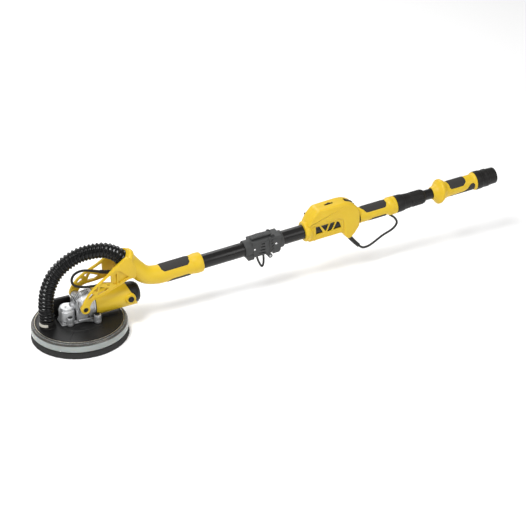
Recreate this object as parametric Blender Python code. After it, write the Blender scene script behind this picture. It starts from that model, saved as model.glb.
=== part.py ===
"""Pole drywall sander: a motor head with a round sanding pad and a brush skirt, held in a yoke at the end
of a folding, telescopic pole. Metres, +Z up. The origin is the centre of the abrasive face, +X runs towards
the handle. Pole pieces are drawn in the pole's own frame: x runs along the pole from above the pad's centre,
z is away from it."""

import math

import bmesh
import bpy
from mathutils import Matrix, Vector

GAP = 0.0003

# Head, heights above the abrasive face
PAD_RADIUS = 0.1125
SKIRT_RADIUS = 0.1250
PLATE_RADIUS = 0.1118
PLATE_TOP = 0.0431
PLATE_THICKNESS = 0.0040
RING_BOTTOM = 0.0190
RING_TOP = 0.0418
BASE_BOTTOM = PLATE_TOP + GAP
CASE_BOTTOM = 0.0523
PORT_X = -0.0830
PORT_TOP = 0.0620
MOTOR_HEIGHT = 0.0840
MOTOR_START = 0.0445
IDLER_X = -0.0301
SPINDLE_RADIUS = 0.0060
SHAFT_RADIUS = 0.0040
SCREW_PLACES = ((-0.0305, -0.0220), (-0.0305, 0.0220), (0.0370, -0.0365), (0.0370, 0.0365))

# Gears: the pad's spur gear and its pinion, then the bevel pair that the motor drives
OUTPUT_TEETH = 27
IDLER_TEETH = 9
BEVEL_TEETH = 20
PINION_TEETH = 7
SPUR_MODULE = -2 * IDLER_X / (OUTPUT_TEETH + IDLER_TEETH)
BEVEL_RADIUS = 0.0160

# Tilt axis of the head, and the yoke's arms
PIVOT = Vector((0.0042, 0.0, 0.0938))
ARM_OUTSIDE = 0.0508
ARM_THICKNESS = 0.0085
ARM_SLOPE = 0.165

# Pole
POLE_HEIGHT = 0.1016
POLE_ANGLE = math.radians(4.0)
TUBE_RADIUS = 0.0190
TUBE_WALL = 0.0020
TUBE_BORE = TUBE_RADIUS + GAP
INNER_TUBE_RADIUS = 0.0143
NECK_RISE = 0.0015
GRIP_RADIUS = 0.0213
FOLD_S = 0.5230
FOLD_N = -0.0285
KNUCKLE_RADIUS = 0.0060
LATCH_S = 0.5350
LATCH_N = 0.0258
HOUSING_HALF_WIDTH = 0.0235
SWITCH_PIVOT = (0.7670, 0.0470)
DIAL_CENTRE = (0.7095, 0.0520)
DIAL_RADIUS = 0.0115
POLE_END = 1.2155

# Colour, roughness, metallic
FINISHES = {
    "yellow_plastic": ((0.76, 0.49, 0.03), 0.42, 0.0),
    "black_plastic": ((0.016, 0.016, 0.016), 0.50, 0.0),
    "grey_plastic": ((0.060, 0.060, 0.062), 0.55, 0.0),
    "grip_rubber": ((0.040, 0.035, 0.032), 0.75, 0.0),
    "hose_plastic": ((0.010, 0.011, 0.012), 0.25, 0.0),
    "black_tube": ((0.012, 0.012, 0.013), 0.30, 0.7),
    "cast_alloy": ((0.62, 0.62, 0.63), 0.38, 0.9),
    "clear_plastic": ((0.55, 0.56, 0.54), 0.20, 0.0),
    "circuit_board": ((0.70, 0.70, 0.66), 0.50, 0.0),
    "steel": ((0.56, 0.56, 0.57), 0.30, 1.0),
    "black_screw": ((0.03, 0.03, 0.03), 0.35, 0.9),
    "copper": ((0.70, 0.33, 0.16), 0.40, 0.9),
    "bristle": ((0.012, 0.012, 0.012), 0.90, 0.0),
    "foam": ((0.05, 0.05, 0.055), 0.90, 0.0),
    "abrasive": ((0.28, 0.13, 0.05), 0.95, 0.0),
}

for leftover in list(bpy.data.objects):
    bpy.data.objects.remove(leftover)

WORLD = Matrix.Identity(4)
POLE = Matrix.Translation((0.0, 0.0, POLE_HEIGHT)) @ Matrix.Rotation(-POLE_ANGLE, 4, "Y")


def finish(name):
    """The material of that name, made at its first use."""
    if name in bpy.data.materials:
        return bpy.data.materials[name]
    colour, roughness, metallic = FINISHES[name]
    made = bpy.data.materials.new(name)
    made.use_nodes = True
    shader = made.node_tree.nodes["Principled BSDF"]
    shader.inputs["Base Color"].default_value = (*colour, 1.0)
    shader.inputs["Roughness"].default_value = roughness
    shader.inputs["Metallic"].default_value = metallic
    made.diffuse_color = (*colour, 1.0)
    return made


def axis_at(name, place, frame=WORLD):
    """An empty on a joint's axis, which carries the pieces that move about it."""
    empty = bpy.data.objects.new("axis_" + name, None)
    empty.matrix_basis = frame @ Matrix.Translation(place)
    bpy.context.scene.collection.objects.link(empty)
    return empty


def add(name, shape, material, axis, frame=WORLD, sharp=40.0):
    """A named piece, drawn in frame and carried by the empty on its joint's axis."""
    bmesh.ops.recalc_face_normals(shape, faces=shape.faces)
    mesh = bpy.data.meshes.new(name)
    shape.to_mesh(mesh)
    shape.free()
    mesh.transform(axis.matrix_basis.inverted() @ frame)
    if material:
        mesh.materials.append(finish(material))
    mesh.shade_smooth()
    mesh.set_sharp_from_angle(angle=math.radians(sharp))
    piece = bpy.data.objects.new(name, mesh)
    bpy.context.scene.collection.objects.link(piece)
    piece.parent = axis
    return piece


def change(piece, operation, shape, frame=WORLD):
    """Joins a shape to a piece, cuts it away or keeps only what lies in it."""
    tool = add("tool_" + piece.name, shape, None, piece.parent, frame)
    tool.hide_render = True
    tool.display_type = "WIRE"
    modifier = piece.modifiers.new(operation.lower(), "BOOLEAN")
    modifier.operation = operation
    modifier.solver = "EXACT"
    modifier.object = tool


def join(piece, shape, frame=WORLD):
    change(piece, "UNION", shape, frame)


def cut(piece, shape, frame=WORLD):
    change(piece, "DIFFERENCE", shape, frame)


def keep(piece, shape, frame=WORLD):
    change(piece, "INTERSECT", shape, frame)


# ---------------------------------------------------------------- shapes


def skin(rings, closed):
    """A solid skinned over rings of equally many points. Closed rings form a loop, or the ends are capped,
    and an end of one point is a tip."""
    shape = bmesh.new()
    rows = [[shape.verts.new(point) for point in ring] for ring in rings]
    pairs = list(zip(rows, rows[1:]))
    if closed:
        pairs.append((rows[-1], rows[0]))
    for low, high in pairs:
        count = max(len(low), len(high))
        for i in range(count):
            j = (i + 1) % count
            corners = [low[i % len(low)], low[j % len(low)], high[j % len(high)], high[i % len(high)]]
            face = list(dict.fromkeys(corners))
            shape.faces.new(face)
    if not closed:
        for row in (rows[0], rows[-1]):
            if len(row) > 1:
                shape.faces.new(row)
    return shape


def turned(profile, along="x", centre=(0.0, 0.0, 0.0), sides=20):
    """A turned solid from (distance along, radius) points. Radius 0 at both ends makes a solid one,
    and a profile that stays off the axis is a ring."""
    solid = profile[0][1] == 0 or profile[-1][1] == 0
    rings = []
    for distance, radius in profile:
        ring = []
        for i in range(sides if radius > 0 else 1):
            angle = 2 * math.pi * i / sides
            u, v = radius * math.cos(angle), radius * math.sin(angle)
            place = {"x": (distance, u, v), "y": (v, distance, u), "z": (u, v, distance)}[along]
            ring.append(Vector(place) + Vector(centre))
        rings.append(ring)
    return skin(rings, not solid)


def rod(radius, low, high, along="z", centre=(0.0, 0.0, 0.0), sides=20):
    return turned([(low, 0.0), (low, radius), (high, radius), (high, 0.0)], along, centre, sides)


def washer(inside, outside, low, high, along="z", centre=(0.0, 0.0, 0.0), sides=20):
    profile = [(low, inside), (low, outside), (high, outside), (high, inside)]
    return turned(profile, along, centre, sides)


def slab(outline, low, high, across="y"):
    """A flat outline given thickness. Across y the outline is (x, z), and across z it is (x, y)."""
    if across == "y":
        rings = [[(a, level, b) for a, b in outline] for level in (low, high)]
    else:
        rings = [[(a, b, level) for a, b in outline] for level in (low, high)]
    return skin(rings, False)


def block(low, high):
    outline = [(low[0], low[2]), (high[0], low[2]), (high[0], high[2]), (low[0], high[2])]
    return slab(outline, low[1], high[1])


def rounded(shape, width, segments=2, wanted=lambda edge: True):
    """Rounds the shape's sharp edges that are wanted."""
    bmesh.ops.recalc_face_normals(shape, faces=shape.faces)
    sharp = [e for e in shape.edges if e.calc_face_angle(0.0) > 0.3 and wanted(e)]
    bmesh.ops.bevel(shape, geom=sharp, offset=width, segments=segments, profile=0.5, affect="EDGES")
    return shape


def smooth_path(points, steps):
    """A Catmull-Rom curve through the points, with that many steps between each two."""
    ends = [points[0] * 2 - points[1], *points, points[-1] * 2 - points[-2]]
    path = []
    for a, b, c, d in zip(ends, ends[1:], ends[2:], ends[3:]):
        for step in range(steps):
            t = step / steps
            square, cube = 2 * a - 5 * b + 4 * c - d, 3 * b - a - 3 * c + d
            path.append(0.5 * (2 * b + (c - a) * t + square * t * t + cube * t ** 3))
    return [*path, points[-1]]


def swept(path, radii, sides=12, bore=None):
    """A round rod that follows a path, with a radius at each point, or a tube with that bore."""
    path = [Vector(point) for point in path]
    last = len(path) - 1
    tangents = [(path[min(i + 1, last)] - path[max(i - 1, 0)]).normalized() for i in range(len(path))]
    across = Vector((0.0, 1.0, 0.0))
    outer, inner = [], []
    for point, tangent, radius in zip(path, tangents, radii):
        across = (across - tangent * across.dot(tangent)).normalized()
        up = tangent.cross(across)
        turns = [2 * math.pi * i / sides for i in range(sides)]
        spokes = [across * math.cos(turn) + up * math.sin(turn) for turn in turns]
        outer.append([point + spoke * radius for spoke in spokes])
        if bore:
            inner.append([point + spoke * bore for spoke in spokes])
    if bore:
        return skin(outer + inner[::-1], True)
    return skin(outer, False)


def cuff(start, end, inside, outside, middle, half_angle, rise=0.0, steps=10):
    """A curved panel on a round grip, centred on the direction middle (degrees, 90 is up)."""
    rings = []
    for i in range(steps + 1):
        angle = math.radians(middle - half_angle + 2 * half_angle * i / steps)
        y, z = math.cos(angle), math.sin(angle)
        corners = [(start, inside), (start, outside), (end, outside), (end, inside)]
        rings.append([(s, radius * y, radius * z + rise) for s, radius in corners])
    return skin(rings, False)


def tooth_angles(teeth, phase):
    """Root, tip, tip and root of each tooth, as (angle, is it a tip)."""
    pitch = 2 * math.pi / teeth
    spots = []
    for tooth in range(teeth):
        for offset, tip in ((-0.27, False), (-0.09, True), (0.09, True), (0.27, False)):
            spots.append((phase + pitch * (tooth + offset), tip))
    return spots


def spur_gear(teeth, module, low, high, centre, phase, bore=0.0):
    root, tip = module * (teeth / 2 - 0.95), module * (teeth / 2 + 0.70)
    spots = tooth_angles(teeth, phase)

    def ring(z, radius=None):
        reach = [radius or (tip if is_tip else root) for _, is_tip in spots]
        middle = Vector(centre)
        return [Vector((r * math.cos(a), r * math.sin(a), z)) + middle for r, (a, _) in zip(reach, spots)]

    if bore:
        return skin([ring(low, bore), ring(low), ring(high), ring(high, bore)], True)
    return skin([ring(low), ring(high)], False)


def bevel_gear(teeth, pitch_radius, apex_distance, phase, face=0.35, back=0.0030):
    """A straight bevel gear with its apex at the origin and its axis along +Z, away from the apex."""
    module = 2 * pitch_radius / teeth
    cone = math.atan2(pitch_radius, apex_distance)
    spots = tooth_angles(teeth, phase)

    def ring(scale):
        points = []
        for angle, is_tip in spots:
            offset = module * (0.75 if is_tip else -1.0)
            radius = scale * (pitch_radius + offset * math.cos(cone))
            z = scale * (apex_distance - offset * math.sin(cone))
            points.append(Vector((radius * math.cos(angle), radius * math.sin(angle), z)))
        return points

    def circle(radius, z):
        return [Vector((radius * math.cos(angle), radius * math.sin(angle), z)) for angle, _ in spots]

    small = 1.0 - face
    core = small * (pitch_radius - 1.2 * module)
    front = small * (apex_distance + 0.3 * module)
    rear = apex_distance + module + back
    hub = circle(pitch_radius - 1.3 * module, rear)
    return skin([circle(core, front), ring(small), ring(1.0), hub], False)


# ---------------------------------------------------------------- head


def gearbox(tilt):
    """Two castings that hold the spindle, the idler and the motor's pinion."""
    outline = [(-0.052, -0.0205), (-0.020, -0.0235), (0.008, -0.0225), (0.030, -0.0340), (0.042, -0.0340)]
    outline += [(x, -y) for x, y in reversed(outline)]
    base = add("gear_base", slab(outline, BASE_BOTTOM, CASE_BOTTOM - GAP, "z"), "cast_alloy", tilt)
    body = block((-0.0120, -0.0285, CASE_BOTTOM), (0.0420, 0.0285, 0.0850))
    case = add("gear_case", body, "cast_alloy", tilt)
    dome = [(CASE_BOTTOM, 0.0), (CASE_BOTTOM, 0.0222), (0.0790, 0.0222), (0.0845, 0.0203)]
    dome += [(0.0878, 0.0150), (0.0890, 0.0)]
    join(case, turned(dome, "z", (IDLER_X, 0.0, 0.0)))
    barrel = [(-0.0205, 0.0), (-0.0205, 0.0095), (-0.0125, 0.0130), (-0.0080, 0.0250), (0.0060, 0.0330)]
    barrel += [(0.0422, 0.0345), (0.0422, 0.0)]
    join(case, turned(barrel, "x", (0.0, 0.0, MOTOR_HEIGHT), 24))
    join(case, rod(0.0105, -0.0370, 0.0370, "y", (PIVOT.x, 0.0, PIVOT.z), 20))
    cut(case, block((-0.0600, -0.0500, 0.0400), (0.0600, 0.0500, CASE_BOTTOM)))
    for x, y in SCREW_PLACES:
        radius = 0.0075 if x < 0 else 0.0085
        join(base, rod(radius, BASE_BOTTOM, CASE_BOTTOM - GAP, "z", (x, y, 0.0), 20))
        join(case, rod(radius - 0.0002, CASE_BOTTOM, 0.0660, "z", (x, y, 0.0), 20))
    for x, y in SCREW_PLACES:
        cut(base, rod(0.0026, BASE_BOTTOM - 0.001, CASE_BOTTOM, "z", (x, y, 0.0), 12))
        cut(case, rod(0.0026, CASE_BOTTOM - 0.001, 0.0640, "z", (x, y, 0.0), 12))
        cut(case, rod(0.0053, 0.0622, 0.0670, "z", (x, y, 0.0), 16))
    cut(base, rod(0.0085, BASE_BOTTOM - 0.001, CASE_BOTTOM, "z"))
    cut(base, rod(0.0133, 0.0457, CASE_BOTTOM, "z"))
    cut(base, rod(SHAFT_RADIUS + 0.0005, 0.0460, CASE_BOTTOM, "z", (IDLER_X, 0.0, 0.0), 16))
    cut(case, rod(0.0245, CASE_BOTTOM - 0.001, 0.0640, "z"))
    cut(case, rod(SPINDLE_RADIUS + 0.0004, 0.0630, 0.0710, "z", sides=16))
    cut(case, rod(0.0193, CASE_BOTTOM - 0.001, 0.0812, "z", (IDLER_X, 0.0, 0.0)))
    cut(case, rod(SHAFT_RADIUS + 0.0004, 0.0800, 0.0860, "z", (IDLER_X, 0.0, 0.0), 15))
    cut(case, rod(0.0082, -0.0202, -0.0080, "x", (0.0, 0.0, MOTOR_HEIGHT), 20))
    cut(case, rod(SHAFT_RADIUS + 0.0010, -0.0100, 0.0400, "x", (0.0, 0.0, MOTOR_HEIGHT), 16))
    cut(case, rod(0.0113, 0.0340, 0.0430, "x", (0.0, 0.0, MOTOR_HEIGHT)))
    for side in (-1, 1):
        cut(case, rod(0.0043, *sorted((side * 0.0260, side * 0.0380)), "y", (PIVOT.x, 0.0, PIVOT.z), 16))
    for number, (x, y) in enumerate(SCREW_PLACES, 1):
        profile = [(0.0450, 0.0), (0.0450, 0.0022), (0.0625, 0.0022)]
        profile += [(0.0625, 0.0048), (0.0658, 0.0048), (0.0658, 0.0)]
        screw = add(f"case_screw_{number}", turned(profile, "z", (x, y, 0.0), 12), "black_screw", tilt)
        cut(screw, rod(0.0024, 0.0640, 0.0670, "z", (x, y, 0.0), 6))


def shroud(tilt):
    """The cover plate, the clear ring with its lamps, and the hose's port."""
    plate = [
        (PLATE_TOP - PLATE_THICKNESS, 0.0085),
        (PLATE_TOP - PLATE_THICKNESS, PLATE_RADIUS - 0.0038),
        (0.0215, PLATE_RADIUS - 0.0038),
        (0.0215, PLATE_RADIUS),
        (PLATE_TOP - 0.0020, PLATE_RADIUS),
        (PLATE_TOP, PLATE_RADIUS - 0.0020),
        (PLATE_TOP, 0.0085),
    ]
    cover = add("shroud_plate", turned(plate, "z", sides=40), "black_plastic", tilt)
    cut(cover, rod(0.0165, 0.030, 0.050, "z", (PORT_X, 0.0, 0.0)))
    ring = [
        (RING_BOTTOM, 0.1124),
        (RING_TOP, 0.1124),
        (RING_TOP, 0.1152),
        (0.0400, 0.1190),
        (0.0350, 0.1228),
        (RING_BOTTOM, 0.1235),
        (RING_BOTTOM, 0.1212),
        (0.0335, 0.1212),
        (0.0335, 0.1152),
        (RING_BOTTOM, 0.1152),
    ]
    add("light_ring", turned(ring, "z", sides=40), "clear_plastic", tilt)
    add("led_strip", washer(0.1158, 0.1206, 0.0313, 0.0330, sides=40), "circuit_board", tilt)
    port = [
        (BASE_BOTTOM, 0.0165),
        (BASE_BOTTOM, 0.0235),
        (0.0475, 0.0235),
        (0.0485, 0.0222),
        (PORT_TOP, 0.0216),
        (PORT_TOP, 0.0165),
    ]
    add("hose_port", turned(port, "z", (PORT_X, 0.0, 0.0)), "black_plastic", tilt)
    box = rounded(block((-0.0560, 0.0302, BASE_BOTTOM), (-0.0220, 0.0410, 0.0945)), 0.0015, 1)
    add("driver_box", box, "black_plastic", tilt)


def motor(tilt, spin):
    """The motor behind the gearbox, its axis level. Its housing ends on a slant under the rear cap."""
    axis = (0.0, 0.0, MOTOR_HEIGHT)
    brush = (0.1290, 0.0, 0.0853)
    shell = [(MOTOR_START, 0.0290), (MOTOR_START, 0.0345), (0.1600, 0.0308), (0.1600, 0.0285)]
    housing = add("motor_housing", turned(shell, "x", axis, 24), "yellow_plastic", tilt)
    for side in (-1, 1):
        join(housing, rod(0.0140, *sorted((side * 0.0180, side * 0.0370)), "y", brush, 20))
    bore = [(0.0400, 0.0), (0.0400, 0.0290), (0.1650, 0.0284), (0.1650, 0.0)]
    cut(housing, turned(bore, "x", axis, 24))
    top, bottom, far = (0.1225, 0.1300), (0.1580, 0.0500), 0.2000
    cut(housing, slab([top, bottom, (far, 0.0400), (far, 0.1400)], -0.05, 0.05))
    for side in (-1, 1):
        cut(housing, rod(0.0080, *sorted((side * 0.0345, side * 0.0400)), "y", brush, 20))
        cap = rod(0.0077, *sorted((side * 0.0350, side * 0.0383)), "y", brush, 20)
        piece = add("brush_cap_left" if side < 0 else "brush_cap_right", cap, "black_plastic", tilt)
        slot = block((0.1240, -0.0012, 0.0845), (0.1340, 0.0012, 0.0861))
        bmesh.ops.translate(slot, verts=slot.verts, vec=(0.0, side * 0.0380, 0.0))
        cut(piece, slot)
    dome = [
        (0.1180, 0.0300),
        (0.1480, 0.0290),
        (0.1585, 0.0250),
        (0.1645, 0.0180),
        (0.1663, 0.0090),
        (0.1663, 0.0),
    ]
    hollow = [(0.1640, 0.0), (0.1640, 0.0085), (0.1622, 0.0165), (0.1565, 0.0225)]
    hollow += [(0.1470, 0.0262), (0.1180, 0.0272)]
    cap = add("rear_cap", turned(dome[::-1] + hollow[::-1], "x", axis, 24), "black_plastic", tilt)
    slant = [(top[0] + GAP, top[1]), (bottom[0] + GAP, bottom[1]), (0.09, 0.04), (0.09, 0.14)]
    cut(cap, slab(slant, -0.05, 0.05))
    for side in (-1, 1):
        cut(cap, rod(0.0143, *sorted((side * 0.0170, side * 0.0400)), "y", brush, 20))
    add("motor_gasket", washer(0.0292, 0.0340, 0.0425, 0.0442, "x", axis, 24), "black_plastic", tilt)
    add("field_core", washer(0.0190, 0.0283, 0.0600, 0.1000, "x", axis), "steel", tilt)
    add("motor_bearing", washer(SHAFT_RADIUS + GAP, 0.0110, 0.0345, 0.0410, "x", axis, 20), "steel", tilt)
    rotor = [
        (-0.0105, 0.0),
        (-0.0105, SHAFT_RADIUS),
        (0.0570, SHAFT_RADIUS),
        (0.0570, 0.0178),
        (0.1030, 0.0178),
        (0.1030, 0.0060),
        (0.1120, 0.0060),
        (0.1120, 0.0110),
        (0.1260, 0.0110),
        (0.1260, SHAFT_RADIUS),
        (0.1500, SHAFT_RADIUS),
        (0.1500, 0.0),
    ]
    add("armature", turned(rotor, "x", axis, 20), "copper", spin)
    add("cooling_fan", fan(9, SHAFT_RADIUS + GAP, 0.0265, 0.0460), "black_plastic", spin)


def fan(blades, bore, radius, start):
    """A flat disc with square blades standing on its rear face."""
    disc, blade = start + 0.0015, start + 0.0075
    rings = [[], [], [], []]
    for i in range(4 * blades):
        angle = 2 * math.pi * (i + (0.35 if i % 2 else 0.0)) / (4 * blades)
        top = blade if i % 4 in (1, 2) else disc
        y, z = math.cos(angle), math.sin(angle)
        for ring, x, r in zip(rings, (start, start, top, top), (bore, radius, radius, 0.0110)):
            ring.append((x, r * y, r * z + MOTOR_HEIGHT))
    hub = [(disc, bore * math.cos(a), bore * math.sin(a) + MOTOR_HEIGHT) for a in fan_angles(blades)]
    collar = [(disc, 0.0095 * math.cos(a), 0.0095 * math.sin(a) + MOTOR_HEIGHT) for a in fan_angles(blades)]
    return skin([*rings, collar, hub], True)


def fan_angles(blades):
    return [2 * math.pi * (i + (0.35 if i % 2 else 0.0)) / (4 * blades) for i in range(4 * blades)]


def gears(idler, spin, pad):
    """The motor's bevel pinion turns the idler, and the idler's small pinion turns the spindle's wheel."""
    apex = Vector((IDLER_X, 0.0, MOTOR_HEIGHT))
    bevel_height = BEVEL_RADIUS * PINION_TEETH / BEVEL_TEETH
    wheel = bevel_gear(BEVEL_TEETH, BEVEL_RADIUS, bevel_height, 0.0)
    wheel.transform(Matrix.Translation(apex) @ Matrix.Rotation(math.pi, 4, "X"))
    pinion = bevel_gear(PINION_TEETH, bevel_height, BEVEL_RADIUS, math.pi / PINION_TEETH, back=0.0010)
    pinion.transform(Matrix.Translation(apex) @ Matrix.Rotation(math.pi / 2, 4, "Y"))
    shaft = add("idler_gear", rod(SHAFT_RADIUS, 0.0470, 0.0840, "z", (IDLER_X, 0.0, 0.0), 16), "steel", idler)
    join(shaft, wheel)
    small = spur_gear(IDLER_TEETH, SPUR_MODULE, 0.0535, 0.0625, (IDLER_X, 0.0, 0.0), math.pi / IDLER_TEETH)
    join(shaft, small)
    add("motor_pinion", pinion, "steel", spin)
    big = spur_gear(OUTPUT_TEETH, SPUR_MODULE, 0.0540, 0.0620, (0.0, 0.0, 0.0), math.pi, SPINDLE_RADIUS + GAP)
    add("output_gear", big, "steel", pad)


def pad_stack(pad, skirt, tilt):
    """What turns with the pad, and the sprung brush skirt around it."""
    spindle = [
        (0.0161, 0.0),
        (0.0161, 0.0150),
        (0.0193, 0.0150),
        (0.0205, SPINDLE_RADIUS),
        (0.0695, SPINDLE_RADIUS),
        (0.0695, 0.0),
    ]
    add("spindle", turned(spindle, "z", sides=20), "steel", pad)
    add("spindle_bearing", washer(SPINDLE_RADIUS + GAP, 0.0130, 0.0460, 0.0516), "steel", tilt)
    add("backing_plate", washer(0.0060, PAD_RADIUS - 0.0040, 0.0118, 0.0158, sides=40), "black_plastic", pad)
    add("foam_pad", washer(0.0140, PAD_RADIUS, 0.0013, 0.0115, sides=40), "foam", pad)
    add("abrasive_disc", rod(PAD_RADIUS, 0.0, 0.0010, sides=40), "abrasive", pad)
    bolt = [(0.0065, 0.0), (0.0065, 0.0100), (0.0113, 0.0100)]
    bolt += [(0.0113, 0.0055), (0.0156, 0.0055), (0.0156, 0.0)]
    add("pad_bolt", turned(bolt, "z", sides=16), "steel", pad)
    add("skirt_carrier", washer(0.1160, 0.1204, 0.0160, 0.0262, sides=40), "black_plastic", skirt)
    bristles = [(0.0157, 0.1168), (0.0157, 0.1218), (0.0, SKIRT_RADIUS), (0.0, 0.1195)]
    add("brush_skirt", turned(bristles, "z", sides=40), "bristle", skirt)


# ---------------------------------------------------------------- yoke and front pole


def pole_point(s, n, y=0.0):
    return POLE @ Vector((s, y, n))


def neck_path():
    """The duct's centre line from its mouth over the motor, down to the pole, with the outside radius."""
    bend = [(0.1195, 0.1930, 0.0252), (0.1235, 0.1895, 0.0256), (0.1255, 0.1876, 0.0285)]
    bend += [(0.1290, 0.1842, 0.0300), (0.1330, 0.1795, 0.0275), (0.1390, 0.1730, 0.0243)]
    bend += [(0.1570, 0.1510, 0.0236)]
    bend += [(0.1740, 0.1330, 0.0236), (0.1900, 0.1235, 0.0240), (0.2080, 0.1199, 0.0244)]
    along = [(0.2240, 0.0249), (0.3080, 0.0249), (0.3130, 0.0254)]
    along += [(0.3210, 0.0268), (0.3330, 0.0264), (0.3375, 0.0246)]
    path = [(Vector((x, 0.0, z)), radius) for x, z, radius in bend]
    path += [(pole_point(s, NECK_RISE), radius) for s, radius in along]
    return path


def arm_outline():
    """Side view of an arm: a round pivot boss, a steep rise and a truss that reaches the duct."""
    points = []
    for step in range(9):
        angle = math.radians(170 + 25 * step)
        points.append((PIVOT.x + 0.0115 * math.cos(angle), PIVOT.z + 0.0115 * math.sin(angle)))
    points += [(0.0215, 0.1090), (0.0262, 0.1130), (0.0344, 0.1160), (0.0609, 0.1212), (0.0905, 0.1282)]
    points += [(0.1262, 0.1400), (0.1500, 0.1400), (0.1500, 0.1650), (0.1240, 0.1890), (0.1080, 0.1965)]
    points += [(0.0900, 0.1845), (0.0665, 0.1670), (0.0440, 0.1540), (0.0280, 0.1430), (0.0140, 0.1310)]
    points += [(0.0060, 0.1210), (-0.0025, 0.1090)]
    return points


ARM_WINDOWS = (
    ((0.0170, 0.1190), (0.0145, 0.1250), (0.0225, 0.1340), (0.0305, 0.1290)),
    ((0.0300, 0.1400), (0.0430, 0.1480), (0.0390, 0.1345)),
    ((0.0525, 0.1535), (0.0800, 0.1700), (0.0800, 0.1450)),
    ((0.0390, 0.1250), (0.0480, 0.1440), (0.0720, 0.1350), (0.0600, 0.1275)),
    ((0.0920, 0.1730), (0.1000, 0.1760), (0.1240, 0.1490), (0.0920, 0.1390)),
)


def arm(side):
    """One arm: a plate that leans towards the duct as it rises."""
    rings = []
    for depth in (0.0, ARM_THICKNESS):
        ring = [(x, side * (ARM_OUTSIDE - depth - ARM_SLOPE * (x - PIVOT.x)), z) for x, z in arm_outline()]
        rings.append(ring)
    return skin(rings, False)


def yoke_half(name, side, tilt):
    path = neck_path()
    half = add(name, swept([p for p, _ in path], [r for _, r in path], 24), "yellow_plastic", tilt)
    join(half, arm(side))
    pivot = (PIVOT.x, 0.0, PIVOT.z)
    join(half, rod(0.0118, *sorted((side * 0.0400, side * 0.0513)), "y", pivot, 24))
    duct = [*[p for p, _ in path[:11]], pole_point(0.2990, 0.0)]
    cut(half, swept(duct, [0.0195] * len(duct), 20))
    mouth = [Vector((0.1080, 0.0, 0.2034)), path[0][0], path[2][0]]
    cut(half, swept(mouth, [0.0206] * 3, 20))
    cut(half, rod(TUBE_BORE, 0.2980, 0.3500, "x", sides=24), POLE)
    for window in ARM_WINDOWS:
        cut(half, slab(window, *sorted((side * 0.0247, side * 0.0600))))
    cut(half, rod(0.0043, *sorted((side * 0.0380, side * 0.0520)), "y", pivot, 16))
    cut(half, rod(0.0068, *sorted((side * 0.0465, side * 0.0520)), "y", pivot, 16))
    cut(half, cuff(0.2170, 0.3035, 0.0238, 0.0270, 90, 63, NECK_RISE), POLE)
    cut(half, cuff(0.2350, 0.3035, 0.0238, 0.0270, -90, 68, NECK_RISE), POLE)
    low, high = sorted((side * 0.00015, side * 0.1))
    keep(half, block((-0.05, low, 0.0), (0.40, high, 0.30)))
    head = [(0.0468, 0.0), (0.0468, 0.0062), (0.0497, 0.0062), (0.0497, 0.0)]
    shank = [(0.0275, 0.0), (0.0275, 0.0038), (0.0468, 0.0038)]
    profile = [(side * y, r) for y, r in shank + head[1:]]
    bolt = "pivot_bolt_left" if side < 0 else "pivot_bolt_right"
    add(bolt, turned(profile, "y", pivot, 16), "black_screw", tilt)


def front_pole(body, fold):
    yoke_half("yoke_half_left", -1, body)
    yoke_half("yoke_half_right", 1, body)
    add("neck_grip_upper", cuff(0.2174, 0.3030, 0.0241, 0.0256, 90, 62, NECK_RISE), "grip_rubber", body, POLE)
    lower = cuff(0.2354, 0.3030, 0.0241, 0.0255, -90, 67, NECK_RISE)
    add("neck_grip_lower", lower, "grip_rubber", body, POLE)
    tube = washer(TUBE_RADIUS - TUBE_WALL, TUBE_RADIUS, 0.3003, 0.4970, "x", sides=24)
    add("front_tube", tube, "black_tube", body, POLE)
    front_bracket(body)
    pin = rod(0.0030, -0.0233, 0.0233, "y", (FOLD_S, 0.0, FOLD_N), 12)
    add("fold_pin", pin, "steel", body, POLE)
    points = [(0.4880, -0.0225), (0.4920, -0.0400), (0.4985, -0.0545)]
    points += [(0.5040, -0.0545), (0.5070, -0.0420), (0.5075, -0.0225)]
    loop = smooth_path([Vector((s, -0.0120, n)) for s, n in points], 3)
    add("fold_cable", swept(loop, [0.0025] * len(loop), 8), "black_plastic", body, POLE)


def bracket_block(start, end):
    return rounded(block((start, -0.0235, -0.0210), (end, 0.0235, 0.0225)), 0.0040, 2, is_lengthwise)


def is_lengthwise(edge):
    a, b = edge.verts
    return abs(a.co.y - b.co.y) < 1e-5 and abs(a.co.z - b.co.z) < 1e-5


def knuckle(sign, low, high):
    """A hinge knuckle under a bracket's block; sign is -1 on the front bracket and 1 on the rear one."""
    outline = [(FOLD_S + sign * 0.0120, -0.0200), (FOLD_S + sign * 0.0120, -0.0215)]
    for step in range(9):
        angle = math.radians(-50 - 22.5 * step)
        x, z = KNUCKLE_RADIUS * math.cos(angle), KNUCKLE_RADIUS * math.sin(angle)
        outline.append((FOLD_S + sign * x, FOLD_N + z))
    outline += [(FOLD_S + sign * 0.0012, -0.0205), (FOLD_S + sign * 0.0012, -0.0200)]
    return slab(outline, low, high)


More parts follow.
